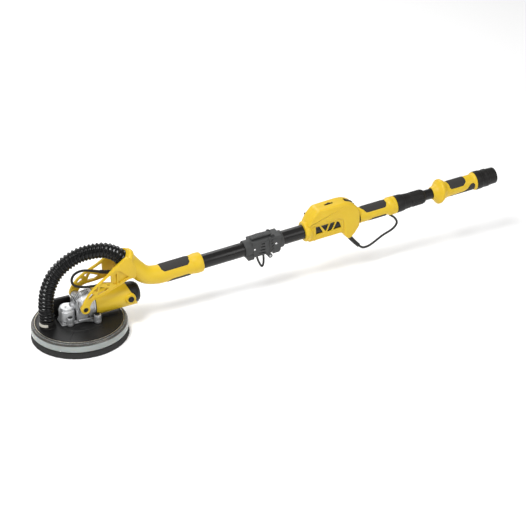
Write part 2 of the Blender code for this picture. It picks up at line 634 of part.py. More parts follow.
def front_bracket(body):
    ring = [(0.4568, 0.0), (0.4568, 0.0222), (0.4578, 0.0228), (0.4800, 0.0228), (0.4800, 0.0)]
    collar = turned(ring, "x", sides=24)
    bracket = add("fold_bracket_front", collar, "grey_plastic", body, POLE)
    join(bracket, bracket_block(0.4765, 0.5225), POLE)
    foot = [(0.4572, -0.0120), (0.4618, -0.0268), (0.4776, -0.0268), (0.4810, -0.0120)]
    join(bracket, slab(foot, -0.0190, 0.0190), POLE)
    for low, high in ((-0.0232, -0.0085), (0.0085, 0.0232)):
        join(bracket, knuckle(-1, low, high), POLE)
    cut(bracket, rod(TUBE_BORE, 0.4500, 0.4973, "x", sides=24), POLE)
    cut(bracket, rod(0.0165, 0.4900, 0.5300, "x", sides=22), POLE)
    cut(bracket, rod(0.0033, -0.0300, 0.0300, "y", (FOLD_S, 0.0, FOLD_N), 12), POLE)


# ---------------------------------------------------------------- rear pole


def rear_bracket(body):
    ring = [(0.5540, 0.0), (0.5540, 0.0228), (0.5656, 0.0228), (0.5666, 0.0222), (0.5666, 0.0)]
    collar = turned(ring, "x", sides=24)
    bracket = add("fold_bracket_rear", collar, "grey_plastic", body, POLE)
    join(bracket, bracket_block(0.5235, 0.5570), POLE)
    foot = [(0.5310, -0.0120), (0.5310, -0.0255), (0.5512, -0.0255), (0.5560, -0.0120)]
    join(bracket, slab(foot, -0.0205, 0.0205), POLE)
    join(bracket, knuckle(1, -0.0080, 0.0080), POLE)
    for low, high in ((-0.0160, -0.0125), (0.0125, 0.0160)):
        ear = [(0.5290, 0.0210), (0.5325, 0.0288), (0.5395, 0.0288), (0.5440, 0.0210)]
        join(bracket, slab(ear, low, high), POLE)
    cut(bracket, rod(TUBE_BORE, 0.5487, 0.5700, "x", sides=24), POLE)
    cut(bracket, rod(0.0165, 0.5200, 0.5550, "x", sides=22), POLE)
    cut(bracket, rod(0.0033, -0.0300, 0.0300, "y", (FOLD_S, 0.0, FOLD_N), 12), POLE)


def housing_outline(inset=0.0):
    """Side view of the switch housing, or of its hollow at that inset from the outside."""
    top = [(0.6370, 0.0250), (0.6450, 0.0400), (0.6640, 0.0600), (0.7400, 0.0610), (0.7560, 0.0590)]
    top += [(0.7730, 0.0510), (0.7860, 0.0365), (0.7912, 0.0170)]
    bottom = [(0.7905, -0.0180), (0.7790, -0.0385), (0.7650, -0.0540), (0.7530, -0.0500), (0.7430, -0.0330)]
    bottom += [(0.7340, -0.0255), (0.6350, -0.0255)]
    outline = top + bottom
    if not inset:
        return outline
    moved = []
    for i, point in enumerate(outline):
        before, after = Vector(outline[i - 1]), Vector(outline[(i + 1) % len(outline)])
        here = Vector(point)
        a, b = (here - before).normalized(), (after - here).normalized()
        inward = Vector((a.y, -a.x)) + Vector((b.y, -b.x))
        moved.append(tuple(here + inward * (inset / (1 + a.dot(b)))))
    return moved


HOUSING_WINDOWS = (
    ((0.6600, -0.0075), (0.6600, 0.0145), (0.6700, 0.0145), (0.6790, -0.0075)),
    ((0.6745, 0.0145), (0.6970, 0.0145), (0.6855, -0.0065)),
    ((0.7030, 0.0145), (0.7165, 0.0145), (0.7025, -0.0075), (0.6895, -0.0075)),
    ((0.7215, 0.0140), (0.7270, 0.0120), (0.7325, -0.0055), (0.7090, -0.0075)),
)


def switch_housing(name, side, body):
    """Half of the shell round the controls, open inside and split along the pole."""
    width = HOUSING_HALF_WIDTH
    whole = slab(housing_outline(), -width, width)
    whole = rounded(whole, 0.0060, 2, lambda e: abs(e.verts[0].co.y - e.verts[1].co.y) < 1e-6)
    half = add(name, whole, "yellow_plastic", body, POLE)
    hollow = slab(housing_outline(0.0028), -width + 0.0028, width - 0.0028)
    cut(half, hollow, POLE)
    cut(half, rod(TUBE_BORE, 0.6200, 0.8000, "x", sides=24), POLE)
    cut(half, block((0.6970, -0.0036, 0.0480), (0.7220, 0.0036, 0.0700)), POLE)
    pocket = [(0.7540, 0.0400), (0.7540, 0.0650), (0.7815, 0.0600), (0.7815, 0.0290)]
    cut(half, slab(pocket, -0.0080, 0.0080), POLE)
    for window in HOUSING_WINDOWS:
        cut(half, slab(window, *sorted((side * 0.0196, side * 0.0300))), POLE)
    low, high = sorted((side * 0.00015, side * 0.05))
    keep(half, block((0.60, low, -0.10), (0.82, high, 0.10)), POLE)


def rear_pole(body):
    rear_bracket(body)
    tube = washer(TUBE_RADIUS - TUBE_WALL, TUBE_RADIUS, 0.5490, 0.9450, "x", sides=24)
    add("rear_tube", tube, "black_tube", body, POLE)
    switch_housing("switch_housing_left", -1, body)
    switch_housing("switch_housing_right", 1, body)
    grip = [
        (0.7922, TUBE_BORE),
        (0.7922, GRIP_RADIUS),
        (0.8780, GRIP_RADIUS),
        (0.8820, 0.0222),
        (0.8870, 0.0247),
        (0.9000, 0.0244),
        (0.9056, 0.0230),
        (0.9056, TUBE_BORE),
    ]
    rear_grip = add("rear_grip", turned(grip, "x", sides=24), "yellow_plastic", body, POLE)
    cut(rear_grip, cuff(0.7990, 0.8775, 0.0203, 0.0240, 90, 63), POLE)
    cut(rear_grip, cuff(0.8180, 0.8775, 0.0203, 0.0240, -90, 68), POLE)
    add("rear_grip_upper", cuff(0.7994, 0.8770, 0.0206, 0.0220, 90, 62), "grip_rubber", body, POLE)
    add("rear_grip_lower", cuff(0.8184, 0.8770, 0.0206, 0.0219, -90, 67), "grip_rubber", body, POLE)
    sleeve = [
        (0.9059, TUBE_BORE),
        (0.9059, 0.0240),
        (0.9200, 0.0234),
        (0.9290, 0.0226),
        (0.9295, 0.0217),
        (0.9440, 0.0206),
        (0.9490, 0.0202),
        (0.9490, TUBE_BORE),
    ]
    add("pole_sleeve", turned(sleeve, "x", sides=24), "black_plastic", body, POLE)
    gland = [(0.7625, -0.0577, 0.0058), (0.7700, -0.0660, 0.0054), (0.7940, -0.0950, 0.0046)]
    loop = [(0.8080, -0.1015), (0.8270, -0.0975), (0.8600, -0.0820)]
    loop += [(0.8920, -0.0710), (0.9060, -0.0560), (0.9000, -0.0390)]
    points = [Vector((s, -0.004, n)) for s, n, _ in gland]
    points += [Vector((s, -0.002, n)) for s, n in loop] + [Vector((0.8860, 0.0, -0.0286))]
    steps = 3
    path = smooth_path(points, steps)
    radii = [r for _, _, r in gland[:2] for _ in range(steps)] + [0.0046]
    radii += [0.0030] * (len(path) - len(radii))
    add("handle_cable", swept(path, radii, 8), "black_plastic", body, POLE)


def controls(latch, switch, dial):
    lever = [(0.4800, 0.0250), (0.4800, 0.0286), (0.5000, 0.0305), (0.5310, 0.0290)]
    for step in range(6):
        angle = math.radians(90 - 36 * step)
        lever.append((LATCH_S + 0.0028 * math.cos(angle), LATCH_N + 0.0028 * math.sin(angle)))
    lever += [(0.5300, 0.0233), (0.4830, 0.0233)]
    add("fold_latch", slab(lever, -0.0100, 0.0100), "grey_plastic", latch, POLE)
    rocker = [(-0.0110, -0.0020), (-0.0105, 0.0058), (0.0, 0.0072)]
    rocker += [(0.0105, 0.0048), (0.0110, -0.0020), (0.0, -0.0050)]
    lean = math.radians(-31)
    turned_rocker = []
    for s, n in rocker:
        along, up = s * math.cos(lean) - n * math.sin(lean), s * math.sin(lean) + n * math.cos(lean)
        turned_rocker.append((SWITCH_PIVOT[0] + along, SWITCH_PIVOT[1] + up))
    add("power_switch", slab(turned_rocker, -0.0072, 0.0072), "black_plastic", switch, POLE)
    wheel = rod(DIAL_RADIUS, -0.0030, 0.0030, "y", (DIAL_CENTRE[0], 0.0, DIAL_CENTRE[1]), 20)
    add("speed_dial", wheel, "black_plastic", dial, POLE)


def extension(slide, collar_axis):
    """The inner tube with the end handle and the hose connector, and the ring that locks it."""
    lock = [
        (0.9494, INNER_TUBE_RADIUS + 0.0005),
        (0.9494, 0.0196),
        (0.9560, 0.0201),
        (0.9850, 0.0199),
        (0.9900, 0.0187),
        (0.9935, 0.0170),
        (0.9935, INNER_TUBE_RADIUS + 0.0005),
    ]
    add("lock_collar", turned(lock, "x", sides=24), "black_plastic", collar_axis, POLE)
    tube = washer(INNER_TUBE_RADIUS - 0.0015, INNER_TUBE_RADIUS, 0.6000, 1.0450, "x", sides=20)
    add("inner_tube", tube, "black_tube", slide, POLE)
    bore = INNER_TUBE_RADIUS + GAP
    handle = [
        (1.0186, bore),
        (1.0186, 0.0172),
        (1.0270, 0.0205),
        (1.0360, 0.0285),
        (1.0400, 0.0325),
        (1.0430, 0.0335),
        (1.0465, 0.0333),
        (1.0500, 0.0315),
        (1.0530, 0.0260),
        (1.0590, 0.0228),
        (1.0700, 0.0214),
        (1.1180, 0.0210),
        (1.1440, 0.0212),
        (1.1485, 0.0248),
        (1.1505, 0.0255),
        (1.1520, 0.0248),
        (1.1520, bore),
    ]
    body = add("end_handle", turned(handle, "x", sides=24), "yellow_plastic", slide, POLE)
    cut(body, cuff(1.0640, 1.1275, 0.0202, 0.0240, 90, 76), POLE)
    add("end_grip_upper", cuff(1.0644, 1.1270, 0.0205, 0.0219, 90, 75), "grip_rubber", slide, POLE)
    outlet = [
        (1.1523, 0.0150),
        (1.1523, 0.0256),
        (1.1700, 0.0250),
        (1.1706, 0.0243),
        (1.1960, 0.0232),
        (1.1964, 0.0224),
        (POLE_END, 0.0216),
        (POLE_END, 0.0165),
        (1.1800, 0.0165),
        (1.1750, 0.0150),
    ]
    add("hose_connector", turned(outlet, "x", sides=24), "black_plastic", slide, POLE)


# ---------------------------------------------------------------- hose and cable between head and yoke


def flexible_parts(body):
    centre = [(PORT_X, PORT_TOP + GAP), (PORT_X, PORT_TOP + 0.0140), (-0.0832, 0.1000), (-0.0745, 0.1470)]
    centre += [(-0.0460, 0.1920), (0.0070, 0.2215), (0.0660, 0.2240), (0.1020, 0.2092), (0.1225, 0.1903)]
    path = smooth_path([Vector((x, 0.0, z)) for x, z in centre], 2)
    add("dust_hose", swept(path, [0.0196] * len(path), 16, bore=0.0155), "hose_plastic", body)
    loop = [(0.1048, 0.1598), (0.0960, 0.1570), (0.0800, 0.1590), (0.0560, 0.1665), (0.0200, 0.1775)]
    loop += [(-0.0040, 0.1725), (-0.0120, 0.1560), (-0.0050, 0.1400), (0.0200, 0.1300), (0.0450, 0.1270)]
    loop += [(0.0640, 0.1225)]
    cable = smooth_path([Vector((x, 0.0, z)) for x, z in loop], 2)
    add("head_cable", swept(cable, [0.0029] * len(cable), 8), "black_plastic", body)


def build():
    front = axis_at("front_pole", (0.0, 0.0, 0.0), POLE)
    tilt = axis_at("head_tilt", PIVOT)
    pad = axis_at("pad_spin", (0.0, 0.0, 0.0))
    idler = axis_at("idler_spin", (IDLER_X, 0.0, MOTOR_HEIGHT))
    spin = axis_at("motor_spin", (0.0, 0.0, MOTOR_HEIGHT))
    skirt = axis_at("skirt_float", (0.0, 0.0, 0.0))
    fold = axis_at("fold", (FOLD_S, 0.0, FOLD_N), POLE)
    latch = axis_at("latch", (LATCH_S, 0.0, LATCH_N), POLE)
    switch = axis_at("switch", (SWITCH_PIVOT[0], 0.0, SWITCH_PIVOT[1]), POLE)
    dial = axis_at("dial", (DIAL_CENTRE[0], 0.0, DIAL_CENTRE[1]), POLE)
    collar = axis_at("collar", (0.9494, 0.0, 0.0), POLE)
    slide = axis_at("extension", (1.0186, 0.0, 0.0), POLE)
    gearbox(tilt)
    shroud(tilt)
    motor(tilt, spin)
    gears(idler, spin, pad)
    pad_stack(pad, skirt, tilt)
    front_pole(front, fold)
    rear_pole(fold)
    controls(latch, switch, dial)
    extension(slide, collar)
    flexible_parts(front)


build()
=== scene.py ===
"""Pole drywall sander: the finished look of every piece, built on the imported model. Metres, +Z up.

The origin is the centre of the abrasive face and +X runs towards the handle. Pole pieces are drawn in the
pole's own frame, where x is the distance along the pole and z the height over its axis, and POLE brings them
into place. Outlines are (along, up) points. Profiles of turned pieces are (distance along, radius) points."""

import math
import random

import bmesh
import bpy
from mathutils import Matrix, Vector


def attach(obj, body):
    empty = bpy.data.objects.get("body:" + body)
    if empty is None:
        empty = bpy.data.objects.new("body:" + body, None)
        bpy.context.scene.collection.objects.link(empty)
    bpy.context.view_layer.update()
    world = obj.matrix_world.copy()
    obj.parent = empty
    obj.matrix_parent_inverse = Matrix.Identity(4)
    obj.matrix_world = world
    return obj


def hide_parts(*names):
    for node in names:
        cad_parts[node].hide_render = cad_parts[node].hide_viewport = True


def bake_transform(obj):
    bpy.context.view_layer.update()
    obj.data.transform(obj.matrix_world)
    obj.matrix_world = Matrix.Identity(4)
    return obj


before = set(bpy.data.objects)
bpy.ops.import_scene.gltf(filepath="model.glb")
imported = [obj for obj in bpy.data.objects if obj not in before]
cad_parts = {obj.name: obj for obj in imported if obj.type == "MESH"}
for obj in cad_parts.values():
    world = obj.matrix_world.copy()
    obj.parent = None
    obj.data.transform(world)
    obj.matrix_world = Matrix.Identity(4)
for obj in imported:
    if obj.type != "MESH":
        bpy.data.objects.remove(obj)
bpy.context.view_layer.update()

random.seed(7)

SIDES = ((-1, "left"), (1, "right"))
PIVOT = Vector((0.0042, 0.0, 0.0938))
ARM_OUTSIDE = 0.0508  # from the middle plane to an arm's outer face, at the pivot
ARM_THICKNESS = 0.0085
ARM_SLOPE = 0.165  # how far the arms close in for each metre towards the duct
IDLER_X = -0.0301
MOTOR_AXIS = (0.0, 0.0, 0.084)
BASE_BOTTOM = 0.0434
CASE_BOTTOM = 0.0523
SCREW_PLACES = ((-0.0305, -0.022), (-0.0305, 0.022), (0.037, -0.0365), (0.037, 0.0365))
BRUSH_CAP = (0.129, 0.0, 0.0853)
PORT = (-0.083, 0.0, 0.0)
PLATE_TOP = 0.0431
CLIP_TURNS = (228, 132)
NECK_RISE = 0.0015  # how far the neck's middle lies above the pole's axis
TUBE_RADIUS = 0.019
TUBE_BORE = 0.0193  # of what sits round the tube
HINGE = (0.523, 0.0, -0.0285)
DIAL = (0.7095, 0.0, 0.052)
WORLD = Matrix.Identity(4)
POLE_SLOPE = math.radians(4.0)
POLE = Matrix.Translation((0.0, 0.0, 0.1016)) @ Matrix.Rotation(-POLE_SLOPE, 4, "Y")
EDGE_RADIUS = 0.0009
# The colour of painted shade in corners and crevices.
CREVICE_SHADE_COLOUR = (0.03, 0.028, 0.026)
ROUGHNESS_OF_GRAIN = 0.08
LOOKS = {}


# ---------------------------------------------------------------- materials


def opaque(colour):
    return (*colour, 1.0)


def node_tools(tree):
    """Short ways to make a node, join two sockets, mix two colours and map a range, in one material."""

    def node(kind, **settings):
        new = tree.nodes.new("ShaderNode" + kind)
        for key, value in settings.items():
            if hasattr(new, key):
                setattr(new, key, value)
            else:
                new.inputs[key].default_value = value
        return new

    def join(source, target):
        tree.links.new(source, target)

    def mix(factor, a, b):
        new = node("Mix", data_type="RGBA")
        for socket, value in zip((new.inputs[0], new.inputs[6], new.inputs[7]), (factor, a, b)):
            if isinstance(value, bpy.types.NodeSocket):
                join(value, socket)
            else:
                socket.default_value = value
        return new.outputs[2]

    def ramp(source, low, high, to_low, to_high):
        new = node("MapRange")
        join(source, new.inputs[0])
        for i, value in enumerate((low, high, to_low, to_high), 1):
            new.inputs[i].default_value = value
        return new.outputs[0]

    return node, join, mix, ramp


def look(name, slot, colour, other, rough, metal=0.0, blotch=25.0, grain=700.0, depth=0.00004, **more):
    """A procedural surface: two tones in soft blotches, fine grain, uneven sheen and lighter worn edges.

    rough is the roughness in the darker and the lighter blotches, and depth is how high the grain stands.
    In more, cells makes the grain pebbled, stretch and lean make it brushed, speck and speck_colour tint it,
    wear and worn are for the edges, cavity is painted shade: it darkens the colour in corners and
    crevices that ambient occlusion finds, band is for a second colour above a height, and shader holds other
    settings of the shader."""
    made = bpy.data.materials.new("look_" + name)
    made.use_nodes = True
    shader = made.node_tree.nodes["Principled BSDF"]
    node, join, mix, ramp = node_tools(made.node_tree)
    place = node("TexCoord").outputs["Object"]
    stretched = node("Mapping")
    join(place, stretched.inputs[0])
    stretched.inputs["Scale"].default_value = more.get("stretch", (1.0, 1.0, 1.0))
    stretched.inputs["Rotation"].default_value = (0.0, more.get("lean", 0.0), 0.0)
    clouds = node("TexNoise", Scale=blotch, Detail=6.0, Roughness=0.6)
    join(place, clouds.inputs["Vector"])
    if more.get("cells"):
        fine = node("TexVoronoi", Scale=grain)
    else:
        fine = node("TexNoise", Scale=grain, Detail=3.0)
    join(stretched.outputs[0], fine.inputs["Vector"])
    small = fine.outputs[0]

    tone = mix(ramp(clouds.outputs[0], 0.35, 0.68, 0.0, 1.0), opaque(colour), opaque(other))
    speck = ramp(small, 0.3, 0.7, 0.0, more.get("speck", 0.12))
    tone = mix(speck, tone, opaque(more.get("speck_colour", other)))
    if "band" in more:
        low, high, above = more["band"]
        height = node("SeparateXYZ")
        join(place, height.inputs[0])
        dots = node("TexNoise", Scale=900.0, Detail=1.0)
        join(place, dots.inputs["Vector"])
        grit = ramp(dots.outputs[0], 0.69, 0.72, 0.0, 1.0)
        speckled = mix(grit, opaque(above), opaque(colour))
        tone = mix(ramp(height.outputs[2], low, high, 0.0, 1.0), tone, speckled)

    # Where a rounded normal leaves the flat one, there is an edge.
    soft = node("Bevel", samples=4)
    soft.inputs["Radius"].default_value = EDGE_RADIUS
    sameness = node("VectorMath", operation="DOT_PRODUCT")
    join(soft.outputs[0], sameness.inputs[0])
    join(node("NewGeometry").outputs["Normal"], sameness.inputs[1])
    edge = node("Math", operation="MULTIPLY")
    join(ramp(sameness.outputs["Value"], 0.8, 0.99, more.get("wear", 0.35), 0.0), edge.inputs[0])
    join(ramp(clouds.outputs[0], 0.3, 0.6, 0.3, 1.0), edge.inputs[1])
    lighter = tuple(min(1.0, c * 1.5 + 0.03) for c in colour)
    tone = mix(edge.outputs[0], tone, opaque(more.get("worn", lighter)))
    # Painted shade: the colour darkens in corners and crevices, where ambient occlusion finds them.
    if "cavity" in more:
        reach, darkness = more["cavity"]
        hollow = node("AmbientOcclusion", samples=6)
        hollow.inputs["Distance"].default_value = reach
        tone = mix(ramp(hollow.outputs["AO"], 0.35, 0.95, darkness, 0.0), tone, opaque(CREVICE_SHADE_COLOUR))
    join(tone, shader.inputs["Base Color"])

    sheen = node("Math", operation="MULTIPLY_ADD")
    join(small, sheen.inputs[0])
    sheen.inputs[1].default_value = ROUGHNESS_OF_GRAIN
    join(ramp(clouds.outputs[0], 0.3, 0.7, rough[0], rough[1]), sheen.inputs[2])
    join(sheen.outputs[0], shader.inputs["Roughness"])
    bump = node("Bump", Distance=depth, Strength=1.0)
    join(small, bump.inputs["Height"])
    join(soft.outputs[0], bump.inputs["Normal"])
    join(bump.outputs[0], shader.inputs["Normal"])
    shader.inputs["Metallic"].default_value = metal
    for socket, value in more.get("shader", {}).items():
        shader.inputs[socket].default_value = value
    made.diffuse_color = opaque(colour)
    LOOKS[name] = made


look(
    "yellow", "yellow_plastic", (0.69, 0.462, 0.017), (0.65, 0.425, 0.013), (0.32, 0.44), blotch=14.0,
    grain=1500.0, depth=0.00002, speck=0.1, wear=0.25, worn=(0.84, 0.62, 0.08),
    shader={"Specular IOR Level": 0.4, "Subsurface Weight": 0.04}
)
look(
    "black", "black_plastic", (0.0055, 0.005, 0.0046), (0.01, 0.0093, 0.0086), (0.32, 0.46), grain=1300.0,
    depth=0.00003, wear=0.5, worn=(0.05, 0.048, 0.045), shader={"Specular IOR Level": 0.28}
)
look(
    "deck", "black_plastic", (0.0045, 0.0045, 0.0046), (0.008, 0.0079, 0.0078), (0.34, 0.48), blotch=10.0,
    grain=900.0, depth=0.00004, wear=0.5, worn=(0.04, 0.04, 0.04), shader={"Specular IOR Level": 0.3}
)
look(
    "grey", "grey_plastic", (0.026, 0.027, 0.027), (0.038, 0.039, 0.039), (0.42, 0.58), grain=1100.0,
    depth=0.00006, wear=0.5, worn=(0.12, 0.12, 0.12)
)
look(
    "rubber", "grip_rubber", (0.018, 0.0165, 0.015), (0.027, 0.0245, 0.022), (0.62, 0.8), grain=650.0,
    depth=0.00012, cells=True, wear=0.4, worn=(0.07, 0.065, 0.06)
)
look(
    "cable", "cable", (0.007, 0.0065, 0.0062), (0.012, 0.0115, 0.011), (0.45, 0.6), grain=900.0,
    depth=0.00003, wear=0.1
)
look(
    "hose", "hose_plastic", (0.0022, 0.0023, 0.0024), (0.004, 0.0041, 0.0042), (0.1, 0.2), blotch=35.0,
    grain=500.0, depth=0.00003, wear=0.15, worn=(0.02, 0.02, 0.02), shader={"Specular IOR Level": 0.28}
)
look(
    "tube", "black_tube", (0.004, 0.0036, 0.0034), (0.007, 0.0063, 0.006), (0.2, 0.3), metal=0.1, blotch=12.0,
    grain=900.0, depth=0.00002, stretch=(0.04, 1.0, 1.0), lean=POLE_SLOPE, wear=0.6, worn=(0.2, 0.2, 0.2),
    shader={"Specular IOR Level": 0.4}
)
# Cast alloy, with painted shade darkening its crevices, such as the gaps between the gearbox fins.
look(
    "alloy", "cast_alloy", (0.58, 0.59, 0.6), (0.46, 0.47, 0.48), (0.3, 0.44), metal=0.7, blotch=60.0,
    grain=420.0, depth=0.00004, wear=0.6, worn=(0.92, 0.92, 0.92), speck=0.25, cavity=(0.005, 0.92),
    speck_colour=(0.46, 0.46, 0.47)
)
look(
    "clear", "clear_plastic", (0.58, 0.6, 0.58), (0.5, 0.52, 0.5), (0.07, 0.15), blotch=20.0, grain=260.0,
    depth=0.0001, wear=0.5, worn=(0.95, 0.95, 0.93), band=(0.034, 0.0352, (0.11, 0.105, 0.095)),
    shader={"Transmission Weight": 0.45, "IOR": 1.4, "Subsurface Weight": 0.1}
)
look("board", "circuit_board", (0.62, 0.6, 0.52), (0.52, 0.5, 0.43), (0.4, 0.55), grain=600.0, wear=0.1)
look("gold", None, (0.86, 0.78, 0.6), (0.78, 0.68, 0.48), (0.22, 0.34), metal=1.0, grain=800.0)
look(
    "lamp", None, (0.9, 0.86, 0.62), (0.85, 0.78, 0.48), (0.2, 0.3), grain=900.0,
    shader={"Emission Color": (1.0, 0.95, 0.8, 1.0), "Emission Strength": 0.25}
)
look(
    "steel", "steel", (0.56, 0.56, 0.57), (0.44, 0.44, 0.45), (0.2, 0.34), metal=1.0, grain=900.0,
    stretch=(1.0, 1.0, 0.1), depth=0.00004, wear=0.5, worn=(0.85, 0.85, 0.85)
)
look("bright", "steel", (0.8, 0.8, 0.8), (0.66, 0.66, 0.67), (0.12, 0.24), metal=1.0, grain=900.0)
look(
    "screw", "black_screw", (0.02, 0.02, 0.021), (0.035, 0.035, 0.036), (0.28, 0.42), metal=0.8, grain=900.0,
    wear=0.6, worn=(0.25, 0.25, 0.25)
)
look(
    "copper", "copper", (0.62, 0.27, 0.12), (0.5, 0.2, 0.09), (0.25, 0.4), metal=0.9, grain=1200.0,
    stretch=(0.15, 1.0, 1.0), depth=0.0002
)
look(
    "bristle", "bristle", (0.009, 0.0088, 0.0085), (0.018, 0.0175, 0.017), (0.55, 0.75), blotch=120.0,
    grain=900.0, stretch=(1.0, 1.0, 0.08), depth=0.00025, speck=0.4, speck_colour=(0.045, 0.044, 0.042)
)
look(
    "foam", "foam", (0.05, 0.05, 0.054), (0.075, 0.075, 0.08), (0.8, 0.95), grain=420.0, depth=0.00035,
    cells=True, speck=0.3
)
look(
    "grit", "abrasive", (0.3, 0.145, 0.055), (0.22, 0.1, 0.04), (0.75, 0.95), grain=1400.0, depth=0.0003,
    cells=True, speck=0.6, speck_colour=(0.5, 0.3, 0.16)
)


# ---------------------------------------------------------------- shapes


def skin(rings, closed):
    """A solid skinned over rings of equally many points, as a loop of rings or with capped ends."""
    shape = bmesh.new()
    rows = [[shape.verts.new(point) for point in ring] for ring in rings]
    pairs = list(zip(rows, rows[1:]))
    if closed:
        pairs.append((rows[-1], rows[0]))
    for low, high in pairs:
        count = max(len(low), len(high))
        for i in range(count):
            j = (i + 1) % count
            corners = [low[i % len(low)], low[j % len(low)], high[j % len(high)], high[i % len(high)]]
            shape.faces.new(list(dict.fromkeys(corners)))
    if not closed:
        for row in (rows[0], rows[-1]):
            if len(row) > 1:
                shape.faces.new(row)
    return shape


def eased(points, radius, closed=False, steps=3):
    """The same outline with its corners rounded."""
    points = [Vector(p) for p in points]
    count = len(points)
    result = []
    for i, corner in enumerate(points):
        if not closed and i in (0, count - 1):
            result.append(corner)
            continue
        back, ahead = points[i - 1] - corner, points[(i + 1) % count] - corner
        if back.length < 1e-7 or ahead.length < 1e-7 or back.angle(ahead) > math.radians(166):
            result.append(corner)
            continue
        start = corner + back.normalized() * min(radius, back.length * 0.45)
        end = corner + ahead.normalized() * min(radius, ahead.length * 0.45)
        for step in range(steps + 1):
            t = step / steps
            result.append(start * (1 - t) ** 2 + corner * (2 * t * (1 - t)) + end * t ** 2)
    return result


def turned(profile, along="x", centre=(0.0, 0.0, 0.0), sides=96, ease=0.0006, ripple=None):
    """A turned solid from (distance along, radius) points, ripple(distance, turn) adding to its radius."""
    solid = profile[0][1] == 0 or profile[-1][1] == 0
    rings = []
    for distance, radius in eased(profile, ease) if ease else profile:
        ring = []
        for i in range(sides if radius > 0 else 1):
            angle = 2 * math.pi * i / sides
            reach = radius + (ripple(distance, radius, i) if ripple and radius > 0 else 0.0)
            u, v = reach * math.cos(angle), reach * math.sin(angle)
            place = {"x": (distance, u, v), "y": (v, distance, u), "z": (u, v, distance)}[along]
            ring.append(Vector(place) + Vector(centre))
        rings.append(ring)
    return skin(rings, not solid)


def rod(radius, low, high, along="z", centre=(0.0, 0.0, 0.0), sides=48, ease=0.0004):
    return turned([(low, 0.0), (low, radius), (high, radius), (high, 0.0)], along, centre, sides, ease)


def sideways(profile, side, centre, sides, ease):
    """A turned solid that points away from the middle plane, on one side of it."""
    return turned([(side * distance, radius) for distance, radius in profile], "y", centre, sides, ease)


def washer(inside, outside, low, high, along="z", centre=(0.0, 0.0, 0.0), sides=96):
    profile = [((low + high) / 2, inside), (low, inside), (low, outside), (high, outside), (high, inside)]
    return turned(profile, along, centre, sides, 0.0004)


def slab(outline, low, high, across="y", bevel=0.0):
    rings = []
    for level in (low, high):
        rings.append([(p[0], level, p[1]) if across == "y" else (p[0], p[1], level) for p in outline])
    shape = skin(rings, False)
    return rounded(shape, bevel) if bevel else shape


def block(low, high, bevel=0.0):
    outline = [(low[0], low[2]), (high[0], low[2]), (high[0], high[2]), (low[0], high[2])]
    return slab(outline, low[1], high[1], "y", bevel)


def rounded(shape, width, segments=3, wanted=lambda edge: True):
    bmesh.ops.recalc_face_normals(shape, faces=shape.faces)
    sharp = [e for e in shape.edges if e.is_manifold and e.calc_face_angle(0.0) > 0.6 and wanted(e)]
    bmesh.ops.bevel(shape, geom=sharp, offset=width, segments=segments, profile=0.5, affect="EDGES")
    return shape


def smooth_path(points, steps):
    """A Catmull-Rom curve through the points. A point may carry its radius as a last coordinate."""
    points = [Vector(p) for p in points]
    ends = [points[0] * 2 - points[1], *points, points[-1] * 2 - points[-2]]
    path = []
    for a, b, c, d in zip(ends, ends[1:], ends[2:], ends[3:]):
        for step in range(steps):
            t = step / steps
            square, cube = 2 * a - 5 * b + 4 * c - d, 3 * b - a - 3 * c + d
            path.append(0.5 * (2 * b + (c - a) * t + square * t * t + cube * t ** 3))
    return [*path, points[-1]]


def even_path(points, spacing):
    """The path resampled at even spacing."""
    lengths = [0.0]
    for a, b in zip(points, points[1:]):
        lengths.append(lengths[-1] + (b - a).length)
    count = max(2, round(lengths[-1] / spacing))
    result, k = [], 0
    for i in range(count + 1):
        target = lengths[-1] * i / count
        while k < len(points) - 2 and lengths[k + 1] < target:
            k += 1
        t = (target - lengths[k]) / max(1e-9, lengths[k + 1] - lengths[k])
        result.append(points[k].lerp(points[k + 1], t))
    return result


def swept(path, radius, sides=20, bore=None):
    """A round rod or tube along a path; radius(i, angle) gives its outside."""
    path = [Vector(p[:3]) for p in path]
    last = len(path) - 1
    across = Vector((0.0, 1.0, 0.0))
    outer, inner = [], []
    for i, point in enumerate(path):
        tangent = (path[min(i + 1, last)] - path[max(i - 1, 0)]).normalized()
        across = (across - tangent * across.dot(tangent)).normalized()
        up = tangent.cross(across)
        outer_ring, inner_ring = [], []
        for k in range(sides):
            angle = 2 * math.pi * k / sides
            spoke = across * math.cos(angle) + up * math.sin(angle)
            outer_ring.append(point + spoke * radius(i, angle))
            if bore:
                inner_ring.append(point + spoke * bore)
        outer.append(outer_ring)
        inner.append(inner_ring)
    if bore:
        return skin(outer + inner[::-1], True)
    return skin(outer, False)


def together(*shapes):
    """Several shapes in one."""
    whole = bmesh.new()
    for shape in shapes:
        mesh = bpy.data.meshes.new("part")
        shape.to_mesh(mesh)
        shape.free()
        whole.from_mesh(mesh)
        bpy.data.meshes.remove(mesh)
    return whole


def combined(shape, steps):
    """The shape after Boolean steps of (operation, other shape)."""
    scratch = []

    def solid(source):
        bmesh.ops.recalc_face_normals(source, faces=source.faces)
        mesh = bpy.data.meshes.new("scratch")
        source.to_mesh(mesh)
        source.free()
        made = bpy.data.objects.new("scratch", mesh)
        bpy.context.scene.collection.objects.link(made)
        scratch.append(made)
        return made

    base = solid(shape)
    for operation, other in steps:
        modifier = base.modifiers.new("step", "BOOLEAN")
        modifier.operation = operation
        modifier.solver = "EXACT"
        modifier.object = solid(other)
    bpy.context.view_layer.update()
    mesh = bpy.data.meshes.new_from_object(base.evaluated_get(bpy.context.evaluated_depsgraph_get()))
    result = bmesh.new()
    result.from_mesh(mesh)
    bpy.data.meshes.remove(mesh)
    for made in scratch:
        data = made.data
        bpy.data.objects.remove(made)
        bpy.data.meshes.remove(data)
    return result


def cut(shape):
    return ("DIFFERENCE", shape)


def add(shape):
    return ("UNION", shape)


